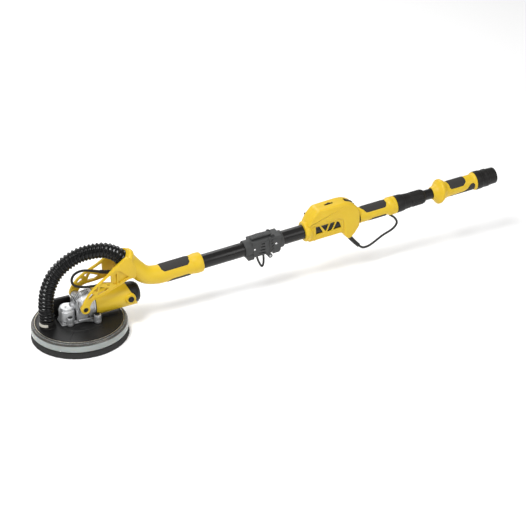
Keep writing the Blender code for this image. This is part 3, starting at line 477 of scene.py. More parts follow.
def kept(shape):
    return ("INTERSECT", shape)


def span(side, near, far):
    """The stretch between two distances from the middle plane on one side, its low end first."""
    return sorted((side * near, side * far))


def turn_z(degrees):
    return Matrix.Rotation(math.radians(degrees), 4, "Z")


def halved(shape, side):
    """What lies on one side of the middle plane, its cut faces closed."""
    half = shape.copy()
    everything = half.verts[:] + half.edges[:] + half.faces[:]
    gap = 0.00012
    found = bmesh.ops.bisect_plane(
        half, geom=everything, plane_co=(0.0, side * gap, 0.0), plane_no=(0.0, -side, 0.0), clear_outer=True
    )
    rim = [e for e in found["geom_cut"] if isinstance(e, bmesh.types.BMEdge)]
    bmesh.ops.triangle_fill(half, edges=rim, use_beauty=True)
    return half


def placed(shape, matrix):
    shape.transform(matrix)
    return shape


def piece(name, shape, surface, body, stands_for=(), where=WORLD, sharp=32.0):
    """A shown piece that rides a body. Given two bodies as (a, b, start, end), it is left unattached in world
    place and does not bend.
    """
    bmesh.ops.recalc_face_normals(shape, faces=shape.faces)
    mesh = bpy.data.meshes.new(name)
    shape.to_mesh(mesh)
    shape.free()
    mesh.transform(where)
    mesh.materials.clear()
    mesh.materials.append(LOOKS[surface])
    mesh.polygons.foreach_set("material_index", [0] * len(mesh.polygons))
    mesh.shade_smooth()
    mesh.set_sharp_from_angle(angle=math.radians(sharp))
    made = bpy.data.objects.new(name, mesh)
    bpy.context.scene.collection.objects.link(made)
    if isinstance(body, tuple):
        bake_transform(made)
    else:
        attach(made, body)
    if stands_for:
        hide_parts(*stands_for)


def panel(outline, radius, height=0.0011, rise=NECK_RISE):
    """A raised soft patch on a round grip, the same on both sides of the middle plane.

    The outline's points, on one side, are (distance along, degrees round), where 90 is up and 270 down."""
    spacing, corner_radius = 0.0032, 0.0045
    turn = 180 if outline[0][1] < 180 else 540
    outline = list(outline) + [(s, turn - a) for s, a in reversed(outline)]
    unit = math.radians(1.0) * radius
    outline = eased([(s, a * unit) for s, a in outline], corner_radius, True, 5)
    edge_depth, shoulder_share = -0.0009, 0.7
    flat = bmesh.new()
    flat.faces.new([flat.verts.new((s, a, 0.0)) for s, a in outline])
    for axis, normal in enumerate((Vector((1.0, 0.0, 0.0)), Vector((0.0, 1.0, 0.0)))):
        level = min(p[axis] for p in outline) + spacing
        high = max(p[axis] for p in outline)
        while level < high - spacing * 0.3:
            everything = flat.verts[:] + flat.edges[:] + flat.faces[:]
            bmesh.ops.bisect_plane(flat, geom=everything, dist=1e-6, plane_co=normal * level, plane_no=normal)
            level += spacing
    bmesh.ops.recalc_face_normals(flat, faces=flat.faces)
    for thickness in (0.0004, 0.0006):
        bmesh.ops.inset_region(flat, faces=flat.faces[:], thickness=thickness, use_even_offset=True)
    rim = {v for v in flat.verts if v.is_boundary}
    shoulder = {e.other_vert(v) for v in rim for e in v.link_edges} - rim
    for v in flat.verts:
        lift = edge_depth if v in rim else (height * shoulder_share if v in shoulder else height)
        angle = v.co.y / radius
        reach = radius + lift
        v.co = Vector((v.co.x, reach * math.cos(angle), reach * math.sin(angle) + rise))
    return flat


# ---------------------------------------------------------------- pad, skirt and shroud


def brush():
    """Tufts of bristles packed side by side, uneven where they end."""
    count, top = 900, 0.0157
    rings = []
    levels = [(top, 0.1168), (top, 0.1214), (0.012, 0.1222), (0.006, 0.1234), (0.0004, 0.1246)]
    levels += [(0.0002, 0.12), (0.008, 0.1185)]
    tuft = [(random.uniform(-0.0004, 0.0004), random.uniform(0.0, 0.001)) for _ in range(count)]
    for z, radius in levels:
        ring = []
        for i in range(count):
            lean, height = tuft[i // 2 % count]
            angle = 2 * math.pi * (i + 0.25 * math.sin(i * 1.7)) / count
            fray = (top - z) / top
            reach = radius + (0.00035 if i % 2 else -0.00035) + lean * fray
            end = z + (height * fray if z < 0.003 else 0.0)
            ring.append((reach * math.cos(angle), reach * math.sin(angle), end))
        rings.append(ring)
    return skin(rings, True)


def pad_parts():
    disc = [(0.0, 0.0), (0.0, 0.1122), (0.0003, 0.1125), (0.001, 0.1125), (0.001, 0.0)]
    piece("abrasive_face", turned(disc, "z", sides=160, ease=0.0002), "grit", "pad", ["abrasive_disc"])
    foam = [(0.0064, 0.014), (0.0013, 0.014), (0.0013, 0.1125), (0.0115, 0.1118), (0.0115, 0.014)]
    piece("foam_cushion", turned(foam, "z", sides=160, ease=0.0012), "foam", "pad", ["foam_pad"])
    plate = [(0.0135, 0.0062), (0.0118, 0.0062), (0.0118, 0.1083), (0.0158, 0.1083), (0.0158, 0.0062)]
    piece("pad_plate", turned(plate, "z", sides=128, ease=0.0008), "black", "pad", ["backing_plate"])
    piece("brush_ring", brush(), "bristle", "skirt", ["brush_skirt"], sharp=60.0)
    carrier = [(0.021, 0.116), (0.016, 0.116), (0.016, 0.1204), (0.0262, 0.1204), (0.0262, 0.116)]
    piece("brush_carrier", turned(carrier, "z", sides=160), "black", "skirt", ["skirt_carrier"])


RING_PROFILE = [
    (0.03, 0.1124), (0.019, 0.1124), (0.019, 0.1152), (0.0335, 0.1152), (0.0335, 0.1212),
    (0.019, 0.1212), (0.019, 0.1235), (0.0285, 0.1235), (0.03, 0.1228), (0.035, 0.1226), (0.0392, 0.1196),
    (0.0396, 0.119), (0.0385, 0.1186), (0.0394, 0.118), (0.0383, 0.1174), (0.0392, 0.1168), (0.0381, 0.1162),
    (0.039, 0.1156), (0.0384, 0.115), (0.0416, 0.1143), (0.0416, 0.1124),
]


def shroud_parts():
    profile = [
        (0.04, 0.0085), (0.0391, 0.0086), (0.0391, 0.108), (0.0215, 0.108), (0.0215, 0.1118), (0.041, 0.1118),
        (0.0431, 0.11), (0.0431, 0.1076), (0.0423, 0.1068), (0.0423, 0.06), (0.0431, 0.059), (0.0431, 0.0085),
    ]
    port_hole = rod(0.0165, 0.03, 0.05, "z", PORT)
    plate = combined(turned(profile, "z", sides=192, ease=0.0005), [cut(port_hole)])
    piece("cover_plate", plate, "deck", "head", ["shroud_plate"])
    seams = []
    for turn in (-58, -14, 14, 58, 122, 238):
        rib = block((0.061, -0.0007, 0.0418), (0.1066, 0.0007, 0.0428), 0.0003)
        seams.append(placed(rib, turn_z(turn)))
    lip = washer(0.0345, 0.0365, PLATE_TOP - 0.0006, PLATE_TOP + 0.0003)
    piece("cover_ribs", together(*seams, lip), "deck", "head")

    def teeth(z, radius, i):
        return 0.00035 * (-1) ** i if z > 0.038 and 0.1135 < radius < 0.12 else 0.0

    clear = turned(RING_PROFILE, "z", sides=480, ease=0.0004, ripple=teeth)
    notches = [
        placed(block((0.12, -0.003, 0.018), (0.126, 0.003, 0.0218), 0.0004), turn_z(a))
        for a in CLIP_TURNS
    ]
    clear = combined(clear, [cut(notch) for notch in notches])
    piece("clear_ring", clear, "clear", "head", ["light_ring"])
    clips = [
        placed(block((0.1221, -0.0016, 0.0193), (0.1238, 0.0016, 0.0216), 0.0004), turn_z(a))
        for a in CLIP_TURNS
    ]
    piece("edge_clips", together(*clips), "bright", "head")
    piece("lamp_board", washer(0.1158, 0.1206, 0.0313, 0.033, sides=160), "board", "head", ["led_strip"])
    lamps, pads = [], []
    for i in range(36):
        lamp = block((0.1168, -0.0014, 0.0328), (0.119, 0.0014, 0.0334), 0.0002)
        lamps.append(placed(lamp, turn_z(10 * i)))
        for shift in (-0.0034, 0.0034):
            pad = block((0.1172, shift - 0.0005, 0.0328), (0.1186, shift + 0.0005, 0.0332))
            pads.append(placed(pad, turn_z(10 * i)))
    piece("lamps", together(*lamps), "lamp", "head")
    piece("lamp_contacts", together(*pads), "gold", "head")
    dashes = [
        placed(block((0.1121, -0.001, 0.0412), (0.113, 0.001, 0.0419)), turn_z(1.8 * i))
        for i in range(200)
    ]
    piece("ring_lip", together(*dashes), "gold", "head")


def port_parts():
    profile = [
        (0.05, 0.0165), (0.0434, 0.0165), (0.0434, 0.0215), (0.0446, 0.0212), (0.045, 0.0192), (0.048, 0.019),
        (0.0484, 0.0201), (0.056, 0.0201), (0.0564, 0.0195), (0.0585, 0.0195), (0.0588, 0.02),
        (0.061, 0.0199), (0.062, 0.0196), (0.062, 0.0165),
    ]
    piece("port_collar", turned(profile, "z", PORT, 96, 0.0004), "black", "head", ["hose_port"])
    band = [(0.053, 0.02), (0.0496, 0.02), (0.0496, 0.021), (0.0575, 0.021), (0.0575, 0.02)]
    opening = block((PORT[0] - 0.0155, -0.03, 0.048), (PORT[0] + 0.03, 0.03, 0.06))
    here = Matrix.Translation(PORT)
    steps = [cut(placed(opening, here @ turn_z(34) @ here.inverted()))]
    piece("port_clip", combined(turned(band, "z", PORT, 96), steps), "board", "head")


# ---------------------------------------------------------------- gearbox and motor


def fin_radius(x):
    """How far the cooling fins on the gearbox stand out from the motor's axis."""
    known = [(-0.014, 0.022), (-0.0013, 0.03), (0.011, 0.034), (0.025, 0.037), (0.04, 0.037)]
    for (a, low), (b, high) in zip(known, known[1:]):
        if x <= b:
            return low + (high - low) * (x - a) / (b - a)
    return known[-1][1]


def gearbox_base():
    outline = [(-0.052, -0.0205), (-0.02, -0.0235), (0.008, -0.0225), (0.03, -0.034), (0.042, -0.034)]
    outline += [(x, -y) for x, y in reversed(outline)]
    outline = eased(outline, 0.003, True)
    base = [slab(outline, BASE_BOTTOM, 0.0475, "z", 0.0008)]
    inner = eased([(x * 0.95, y * 0.93) for x, y in outline], 0.001, True)
    base.append(slab(inner, 0.047, 0.052, "z", 0.0006))
    for x, y in SCREW_PLACES:
        radius = 0.0088 if x < 0 else 0.0094
        base.append(rod(radius, BASE_BOTTOM, 0.052, "z", (x, y, 0.0), ease=0.0008))
    for x, y in ((-0.048, -0.0185), (-0.048, 0.0185), (-0.02, -0.0225), (0.008, -0.0215), (0.03, -0.032)):
        base.append(block((x - 0.0012, y - 0.0012, BASE_BOTTOM), (x + 0.0012, y + 0.0012, 0.054), 0.0004))
    piece("gearbox_base", together(*base), "alloy", "head", ["gear_base"])


def gearbox_case():
    """The casting: a box, the idler's dome, the bevel gear's barrel with its fins, and the pivot boss."""
    case = [block((-0.012, -0.025, CASE_BOTTOM), (0.0358, 0.025, 0.083), 0.0012)]
    dome = [
        (CASE_BOTTOM, 0.0), (CASE_BOTTOM, 0.0226), (0.056, 0.0226), (0.0566, 0.0218), (0.0785, 0.0212),
        (0.0797, 0.0207), (0.0803, 0.0197), (0.0862, 0.0191), (0.0878, 0.0178), (0.0882, 0.016),
        (0.0878, 0.015), (0.0878, 0.0),
    ]
    case.append(turned(dome, "z", (IDLER_X, 0.0, 0.0), ease=0.0007))
    barrel = [
        (-0.0215, 0.0), (-0.0215, 0.0095), (-0.0125, 0.0135), (-0.008, 0.0235), (0.006, 0.0318),
        (0.018, 0.0325), (0.0185, 0.0335), (0.031, 0.0338), (0.0315, 0.0349), (0.036, 0.0349), (0.036, 0.0),
    ]
    over_base = block((-0.03, -0.04, CASE_BOTTOM), (0.05, 0.04, 0.13))
    case.append(combined(turned(barrel, "x", MOTOR_AXIS, ease=0.001), [kept(over_base)]))
    for step in range(12):
        x = -0.013 + 0.0036 * step
        reach = fin_radius(x)
        fin = washer(reach - 0.01, reach, x - 0.0007, x + 0.0007, "x", MOTOR_AXIS, 64)
        crest = block((-0.03, -0.012, 0.093), (0.04, 0.012, 0.13), 0.0004)
        case.append(combined(fin, [kept(crest)]))
    collar = washer(0.016, 0.0282, -0.0086, -0.0064, "x", MOTOR_AXIS, 64)
    case.append(combined(collar, [kept(block((-0.03, -0.04, CASE_BOTTOM), (0.05, 0.04, 0.105)))]))
    case.append(rod(0.0108, -0.037, 0.037, "y", (PIVOT.x, 0.0, PIVOT.z)))
    for x, y in SCREW_PLACES:
        radius = 0.0086 if x < 0 else 0.0092
        case.append(rod(radius, CASE_BOTTOM, 0.066, "z", (x, y, 0.0), ease=0.0009))
        low, high = min(y * 0.6, y), max(y * 0.6, y)
        case.append(block((x - 0.004, low, CASE_BOTTOM), (x + 0.004, high, 0.06), 0.0008))
    for side, _ in SIDES:
        low, high = span(side, 0.023, 0.0305)
        case.append(block((0.0205 - 0.0011, low, CASE_BOTTOM), (0.0205 + 0.0011, high, 0.101), 0.0005))
        low, high = span(side, 0.02, 0.03)
        case.append(block((-0.0095, low, CASE_BOTTOM), (0.031, high, 0.056), 0.0009))
    for angle in (-35, 0, 35):
        turn = math.radians(angle)
        x, y = IDLER_X - 0.0205 * math.cos(turn), 0.0205 * math.sin(turn)
        case.append(block((x - 0.0012, y - 0.0011, 0.056), (x + 0.003, y + 0.0011, 0.08), 0.0005))
    case.append(rod(0.002, 0.0885, 0.0895, "z", (IDLER_X - 0.004, -0.002, 0.0), 20))
    piece("gearbox_case", together(*case), "alloy", "head", ["gear_case"])


def gearbox_screws():
    wells = [rod(0.0064, 0.064, 0.0663, "z", (x, y, 0.0), 32, 0.0002) for x, y in SCREW_PLACES]
    piece("screw_wells", together(*wells), "screw", "head")
    profile = [
        (0.045, 0.0), (0.045, 0.0022), (0.0625, 0.0022), (0.0625, 0.005), (0.0682, 0.005), (0.0682, 0.0),
    ]
    for number, (x, y) in enumerate(SCREW_PLACES, 1):
        centre = (x, y, 0.0)
        socket = rod(0.0028, 0.0655, 0.07, "z", centre, 6, 0.0)
        head = combined(turned(profile, "z", centre, 32, 0.0004), [cut(socket)])
        piece(f"socket_screw_{number}", head, "screw", "head", [f"case_screw_{number}"])


def lamp_driver():
    box = rounded(block((-0.056, 0.0308, BASE_BOTTOM), (-0.01, 0.041, 0.0945)), 0.0018)
    seam = rounded(block((-0.0563, 0.0305, 0.0905), (-0.0097, 0.0413, 0.0912)), 0.0003)
    legs = [
        block((-0.05, 0.02, BASE_BOTTOM), (-0.046, 0.031, 0.047), 0.0005),
        block((-0.033, 0.024, BASE_BOTTOM), (-0.029, 0.031, 0.047), 0.0005),
    ]
    piece("lamp_driver", together(box, seam, *legs), "black", "head", ["driver_box"])


CAP_TOP, CAP_BOTTOM = (0.1195, 0.13), (0.156, 0.05)  # the slanting joint of housing and rear cap, in x and z


def motor_shell():
    shell = [(0.045, 0.03), (0.038, 0.03), (0.038, 0.0347), (0.06, 0.0341), (0.16, 0.0308), (0.16, 0.029)]
    behind = [CAP_TOP, CAP_BOTTOM, (0.2, 0.04), (0.2, 0.14)]
    steps = [cut(slab(behind, -0.05, 0.05))]
    for side, _ in SIDES:
        boss = [(0.018, 0.0), (0.018, 0.014), (0.034, 0.014), (0.037, 0.0128), (0.037, 0.0)]
        steps.append(add(sideways(boss, side, BRUSH_CAP, 64, 0.001)))
    inside = [(0.03, 0.0), (0.03, 0.029), (0.165, 0.0284), (0.165, 0.0)]
    steps.append(cut(turned(inside, "x", MOTOR_AXIS)))
    for side, _ in SIDES:
        steps.append(cut(rod(0.0082, *span(side, 0.0345, 0.04), "y", BRUSH_CAP)))
        groove = [(0.0362, 0.0104), (0.0362, 0.0112), (0.038, 0.0112), (0.038, 0.0104)]
        steps.append(cut(sideways(groove, side, BRUSH_CAP, 64, 0.0)))
    shape = combined(turned(shell, "x", MOTOR_AXIS, 128, 0.0008), steps)
    piece("motor_shell", shape, "yellow", "head", ["motor_housing"])


def brush_plugs():
    for side, name in SIDES:
        face = side * 0.038
        slot = block((0.1235, face - 0.001, 0.0844), (0.1345, face + 0.001, 0.0862))
        cap = combined(rod(0.0077, *span(side, 0.035, 0.0383), "y", BRUSH_CAP, 48, 0.0006), [cut(slot)])
        piece("brush_plug_" + name, cap, "black", "head", ["brush_cap_" + name])


def motor_cap():
    dome = [
        (0.115, 0.029), (0.115, 0.0303), (0.146, 0.0292), (0.153, 0.0268), (0.1595, 0.0215), (0.1622, 0.014),
        (0.163, 0.006), (0.163, 0.0),
    ]
    gap = 0.0002
    before = [
        (CAP_TOP[0] + gap, CAP_TOP[1]), (CAP_BOTTOM[0] + gap, CAP_BOTTOM[1]), (0.09, 0.04), (0.09, 0.14),
    ]
    steps = [cut(slab(before, -0.05, 0.05))]
    for side, _ in SIDES:
        steps.append(cut(rod(0.0142, *span(side, 0.017, 0.04), "y", BRUSH_CAP)))
    for step in range(5):
        z = MOTOR_AXIS[2] - 0.014 + 0.007 * step
        steps.append(cut(block((0.156, -0.013, z - 0.001), (0.172, 0.013, z + 0.001), 0.0006)))
    for angle in (40, 20, 0, -20, -40):
        slot = block((0.142, -0.001, 0.027), (0.156, 0.001, 0.033), 0.0006)
        turn = Matrix.Translation(MOTOR_AXIS) @ Matrix.Rotation(math.radians(angle), 4, "X")
        steps.append(cut(placed(slot, turn)))
    shape = combined(turned(dome, "x", MOTOR_AXIS, 128, 0.0016), steps)
    piece("motor_rear_cap", shape, "black", "head", ["rear_cap"])
    seal = washer(0.029, 0.0348, 0.0361, 0.0379, "x", MOTOR_AXIS)
    piece("motor_seal", seal, "rubber", "head", ["motor_gasket"])


# ---------------------------------------------------------------- yoke


def pole_point(s, n):
    return POLE @ Vector((s, 0.0, n))


def neck_path():
    bend = [
        (0.1195, 0.193, 0.0252), (0.1235, 0.1895, 0.0256), (0.1255, 0.1876, 0.0285), (0.129, 0.1842, 0.03),
        (0.133, 0.1795, 0.0275), (0.139, 0.173, 0.0243), (0.157, 0.151, 0.0236), (0.174, 0.133, 0.0236),
        (0.19, 0.1235, 0.024), (0.208, 0.1199, 0.0244),
    ]
    along = [
        (0.224, 0.0248), (0.26, 0.0248), (0.306, 0.0249), (0.311, 0.0253), (0.318, 0.0264), (0.324, 0.0268),
        (0.332, 0.0264), (0.336, 0.0256), (0.3375, 0.0244),
    ]
    path = [Vector((x, 0.0, z, radius)) for x, z, radius in bend]
    path += [Vector((*pole_point(s, NECK_RISE), radius)) for s, radius in along]
    return path


def arm_outline():
    eye_radius = 0.0115
    points = []
    for step in range(13):
        angle = math.radians(165 + 17.5 * step)
        points.append((PIVOT.x + eye_radius * math.cos(angle), PIVOT.z + eye_radius * math.sin(angle)))
    lower_edge = [(0.0215, 0.109), (0.0262, 0.113), (0.0344, 0.116), (0.0609, 0.1212), (0.0905, 0.1282)]
    duct_end = [(0.1262, 0.14), (0.15, 0.14), (0.15, 0.165), (0.134, 0.201), (0.123, 0.203), (0.1051, 0.192)]
    upper_edge = [(0.09, 0.184), (0.0665, 0.167), (0.044, 0.154), (0.028, 0.143), (0.014, 0.131)]
    rest = [*lower_edge, *duct_end, *upper_edge, (0.006, 0.121), (-0.0025, 0.109)]
    return points + [tuple(p) for p in eased([points[-1], *rest, points[0]], 0.007)][1:-1]


ARM_WINDOWS = (
    ((0.017, 0.119), (0.0145, 0.125), (0.0225, 0.134), (0.0305, 0.129)),
    ((0.03, 0.14), (0.043, 0.148), (0.039, 0.1345)),
    ((0.0525, 0.1535), (0.08, 0.17), (0.08, 0.145)),
    ((0.039, 0.125), (0.048, 0.144), (0.072, 0.135), (0.06, 0.1275)),
    ((0.066, 0.142), (0.069, 0.146), (0.076, 0.14)),
)
ARM_POCKETS = (
    ((0.083, 0.164), (0.096, 0.168), (0.096, 0.1365), (0.083, 0.14)),
    ((0.099, 0.17), (0.104, 0.1714), (0.1284, 0.147), (0.099, 0.1372)),
)
ARM_FIELD = (
    (0.013, 0.117), (0.0105, 0.1225), (0.017, 0.1305), (0.029, 0.1405), (0.0445, 0.151), (0.067, 0.164),
    (0.0905, 0.174), (0.104, 0.1745), (0.131, 0.148), (0.123, 0.142), (0.0895, 0.1315), (0.06, 0.1245),
    (0.034, 0.1192), (0.0235, 0.115),
)


def arm_plate(outline, side, outside, inside):
    """An outline given thickness along the lean of the arm."""
    rings = []
    for depth in (outside, inside):
        rings.append([(x, side * (ARM_OUTSIDE - depth - ARM_SLOPE * (x - PIVOT.x)), z) for x, z in outline])
    return skin(rings, False)


def yoke_shape():
    """Neck, arms and duct in one, before the yoke is parted into halves."""
    path = smooth_path(neck_path(), 4)
    pivot = (PIVOT.x, 0.0, PIVOT.z)
    steps = []
    for side, _ in SIDES:
        steps.append(add(rounded(arm_plate(arm_outline(), side, 0.0, ARM_THICKNESS), 0.0011, 2)))
        steps.append(add(rod(0.0118, *span(side, 0.04, 0.0514), "y", pivot, 64, 0.001)))
    duct = smooth_path([p[:3] for p in neck_path()[:11]] + [pole_point(0.299, 0.0)], 3)
    steps.append(cut(swept(duct, lambda i, angle: 0.0195, 48)))
    mouth = [Vector((0.108, 0.0, 0.2034)), neck_path()[0].xyz, neck_path()[2].xyz]
    steps.append(cut(swept(mouth, lambda i, angle: 0.0206, 64)))
    steps.append(cut(placed(rod(TUBE_BORE, 0.298, 0.35, "x", sides=96), POLE)))
    well = [(0.038, 0.0), (0.038, 0.0043), (0.0465, 0.0043), (0.0465, 0.0068), (0.056, 0.0068), (0.056, 0.0)]
    outside = -0.004
    for side, _ in SIDES:
        for window in ARM_WINDOWS:
            steps.append(cut(slab(eased(window, 0.0016, True), *span(side, 0.0247, 0.06))))
        for pocket in ARM_POCKETS:
            steps.append(cut(arm_plate(eased(pocket, 0.0016, True), side, outside, ARM_THICKNESS - 0.0028)))
        steps.append(cut(arm_plate(eased(ARM_FIELD, 0.003, True), side, outside, 0.0013)))
        steps.append(cut(sideways(well, side, pivot, 44, 0.0)))
    return combined(swept(path, lambda i, angle: path[i][3], 80), steps)


def yoke_parts():
    pivot = (PIVOT.x, 0.0, PIVOT.z)
    whole = yoke_shape()
    profile = [
        (0.0275, 0.0), (0.0275, 0.0038), (0.0466, 0.0038), (0.0466, 0.0062), (0.05, 0.0062), (0.05, 0.0),
    ]
    for side, name in SIDES:
        piece("yoke_" + name, halved(whole, side), "yellow", "front_pole", ["yoke_half_" + name], sharp=38.0)
        socket = rod(0.0034, *span(side, 0.0475, 0.054), "y", pivot, 6, 0.0)
        bolt = combined(sideways(profile, side, pivot, 40, 0.0005), [cut(socket)])
        piece("pivot_screw_" + name, bolt, "screw", "front_pole", ["pivot_bolt_" + name])
    whole.free()
    upper = [
        (0.2205, 90), (0.2225, 124), (0.2262, 140), (0.231, 147), (0.286, 148), (0.296, 145), (0.302, 132),
        (0.3047, 90),
    ]
    lower = [(0.233, 238), (0.245, 206), (0.264, 203), (0.2935, 202), (0.303, 228)]
    for name, outline in (("upper", upper), ("lower", lower)):
        piece("neck_pad_" + name, panel(outline, 0.0248), "rubber", "front_pole", ["neck_grip_" + name], POLE)


# ---------------------------------------------------------------- hose and cables


def hose_parts():
    centre = [
        (PORT[0], 0.0615), (PORT[0], 0.076), (-0.0832, 0.1), (-0.0745, 0.147), (-0.046, 0.192),
        (0.007, 0.2215), (0.066, 0.224), (0.102, 0.2092), (0.1225, 0.1903),
    ]
    path = even_path(smooth_path([Vector((x, 0.0, z)) for x, z in centre], 24), 0.0011)
    rings_per_rib = 9.0

    def ridge(i, angle):
        phase = (i / rings_per_rib + angle / (2 * math.pi)) % 1.0
        wave = 0.5 + 0.5 * math.cos(2 * math.pi * phase)
        return 0.016 + 0.004 * wave ** 0.75

    between = ("head", "front_pole", (PORT[0], 0.0, 0.062), (0.1195, 0.0, 0.193))
    piece("ribbed_hose", swept(path, ridge, 44, bore=0.015), "hose", between, ["dust_hose"], sharp=70.0)
    loop = [
        (0.112, 0.1655), (0.1, 0.157), (0.08, 0.159), (0.056, 0.1665), (0.02, 0.1775), (-0.0035, 0.1725),
        (-0.012, 0.156), (-0.0045, 0.14), (0.02, 0.13), (0.045, 0.127), (0.064, 0.1225), (0.07, 0.117),
    ]
    cable = even_path(smooth_path([Vector((x, 0.0, z)) for x, z in loop], 8), 0.0015)
    count = len(cable)

    def sheath(i, angle):
        if i < count * 0.22 or i > count * 0.9:
            return 0.0048 + 0.0003 * math.sin(i * 1.3)
        return 0.0033

    between = ("head", "front_pole", (0.064, 0, 0.1225), (0.105, 0, 0.16))
    piece("head_wire", swept(cable, sheath, 16), "cable", between, ["head_cable"])


# ---------------------------------------------------------------- fold joint


def bracket_block(start, end):
    slant = 0.006 if start > HINGE[0] else 0.0
    outline = [(start, -0.021), (start, 0.0225), (end, 0.0225), (end - slant, -0.021)]
    return rounded(slab(outline, -0.0235, 0.0235), 0.004, 4, lengthwise)


def lengthwise(edge):
    a, b = edge.verts
    return abs(a.co.y - b.co.y) < 1e-5 and abs(a.co.z - b.co.z) < 1e-5 and abs(a.co.x - b.co.x) > 1e-3


def knuckle(sign, low, high):
    """A hinge eye on one side of the split, with a neck up to its bracket."""
    s, _, n = HINGE
    radius = 0.006
    outline = [(s + sign * 0.012, -0.02), (s + sign * 0.012, -0.0215)]
    for step in range(17):
        angle = math.radians(-50 - 11.25 * step)
        outline.append((s + sign * radius * math.cos(angle), n + radius * math.sin(angle)))
    outline += [(s + sign * 0.0012, -0.0205), (s + sign * 0.0012, -0.02)]
    return slab(outline, low, high)


GRILLE_LEVELS = (0.0125, 0.004, -0.0045, -0.013)


def bracket_bores(tube_start, tube_end, way_start, way_end):
    """What both brackets lose: the tube's seat, the cable's way through and the pin's hole."""
    seat, way = rod(TUBE_BORE, tube_start, tube_end, "x"), rod(0.0165, way_start, way_end, "x")
    return [cut(seat), cut(way), cut(rod(0.0033, -0.03, 0.03, "y", HINGE))]


def front_bracket():
    steps = [add(bracket_block(0.4765, 0.5225))]
    foot = [(0.4556, -0.012), (0.4606, -0.0268), (0.4776, -0.0268), (0.482, -0.012)]
    steps.append(add(rounded(slab(foot, -0.0212, 0.0212), 0.0015, 2)))
    for low, high in ((-0.0232, -0.0085), (0.0085, 0.0232)):
        steps.append(add(knuckle(-1, low, high)))
    steps += bracket_bores(0.45, 0.4973, 0.49, 0.53)
    for side, _ in SIDES:
        for n, start in zip(GRILLE_LEVELS, (0.4985, 0.4965, 0.4945, 0.4905)):
            bar = [(start, n), (start + 0.004, n + 0.0028), (0.5105, n + 0.0018), (0.5105, n - 0.0012)]
            steps.append(cut(slab(bar, *span(side, 0.0185, 0.026))))
        corner = [(0.49, 0.025), (0.523, 0.025), (0.523, 0.0175), (0.499, 0.0175)]
        steps.append(cut(slab(corner, *span(side, 0.0228, 0.026))))
    collar = [(0.4568, 0.0), (0.4568, 0.0216), (0.458, 0.0228), (0.482, 0.023), (0.482, 0.0)]
    front = combined(turned(collar, "x", sides=96), steps)
    piece("fold_block_front", front, "grey", "front_pole", ["fold_bracket_front"], POLE)


def rear_bracket():
    steps = [add(bracket_block(0.5235, 0.5588))]
    foot = [(0.531, -0.012), (0.531, -0.0255), (0.5512, -0.0255), (0.5565, -0.012)]
    steps.append(add(rounded(slab(foot, -0.0218, 0.0218), 0.0015, 2)))
    steps.append(add(knuckle(1, -0.008, 0.008)))
    for low, high in ((-0.016, -0.0125), (0.0125, 0.016)):
        ear = eased([(0.529, 0.0205), (0.5325, 0.0288), (0.5395, 0.0288), (0.544, 0.0205)], 0.0025, True)
        steps.append(add(slab(ear, low, high)))
    steps += bracket_bores(0.5487, 0.57, 0.52, 0.555)
    for side, _ in SIDES:
        for n in GRILLE_LEVELS:
            bar = [(0.5262, n - 0.0014), (0.5262, n + 0.001), (0.5345, n + 0.0068), (0.5345, n + 0.004)]
            steps.append(cut(slab(bar, *span(side, 0.0185, 0.026))))
    collar = [(0.55, 0.0), (0.55, 0.023), (0.5656, 0.0228), (0.5668, 0.0216), (0.5668, 0.0)]
    rear = combined(turned(collar, "x", sides=96), steps)
    piece("fold_block_rear", rear, "grey", "rear_pole", ["fold_bracket_rear"], POLE)


def fold_hardware():
    piece("hinge_pin", rod(0.003, -0.0233, 0.0233, "y", HINGE), "steel", "front_pole", ["fold_pin"], POLE)
    profile = [(0.02, 0.0), (0.02, 0.003), (0.0238, 0.003), (0.0246, 0.0018), (0.0246, 0.0)]
    for s, body, name in ((0.4805, "front_pole", "front"), (0.542, "rear_pole", "rear")):
        heads = []
        for side, _ in SIDES:
            face = side * 0.0243
            screw = sideways(profile, side, (s, 0.0, 0.0032), 24, 0.0004)
            slot = block((s - 0.002, face - 0.0006, 0.0029), (s + 0.002, face + 0.0006, 0.0035))
            heads.append(combined(screw, [cut(slot)]))
        piece("clamp_screws_" + name, together(*heads), "bright", body, (), POLE)


def fold_wire():
    """The cable's loop under the split, drawn in one place; it does not follow the fold."""
    y, top = -0.012, -0.028
    loop = [(0.488, -0.0225), (0.492, -0.04), (0.4985, -0.0565), (0.5035, -0.0565), (0.507, -0.042)]
    loop.append((0.5075, -0.0225))
    path = smooth_path([Vector((s, y, n)) for s, n in loop], 10)
    start, end = POLE @ Vector((0.502, y, top)), POLE @ Vector((0.502, y, -0.1106))
    between = ("front_pole", "rear_pole", tuple(start), tuple(end))
    piece("fold_wire", swept(path, lambda i, a: 0.0029, 16), "cable", between, ["fold_cable"], POLE)


def latch_lever():
    lever = [(0.48, 0.025), (0.48, 0.0284), (0.5, 0.0303), (0.531, 0.0288)]
    for step in range(11):
        angle = math.radians(90 - 18 * step)
        lever.append((0.535 + 0.0028 * math.cos(angle), 0.0258 + 0.0028 * math.sin(angle)))
    lever += [(0.53, 0.0233), (0.483, 0.0233)]
    parts = [rounded(slab(eased(lever, 0.0008, True), -0.0098, 0.0098), 0.0006, 2)]
    for step in range(8):
        s = 0.483 + 0.005 * step
        top = 0.0284 + min(s - 0.48, 0.02) * 0.095 - max(s - 0.5, 0.0) * 0.048
        parts.append(block((s, -0.0088, top - 0.001), (s + 0.0021, 0.0088, top + 0.0008), 0.0005))
    piece("latch_lever", together(*parts), "grey", "latch", ["fold_latch"], POLE)


# ---------------------------------------------------------------- rear pole


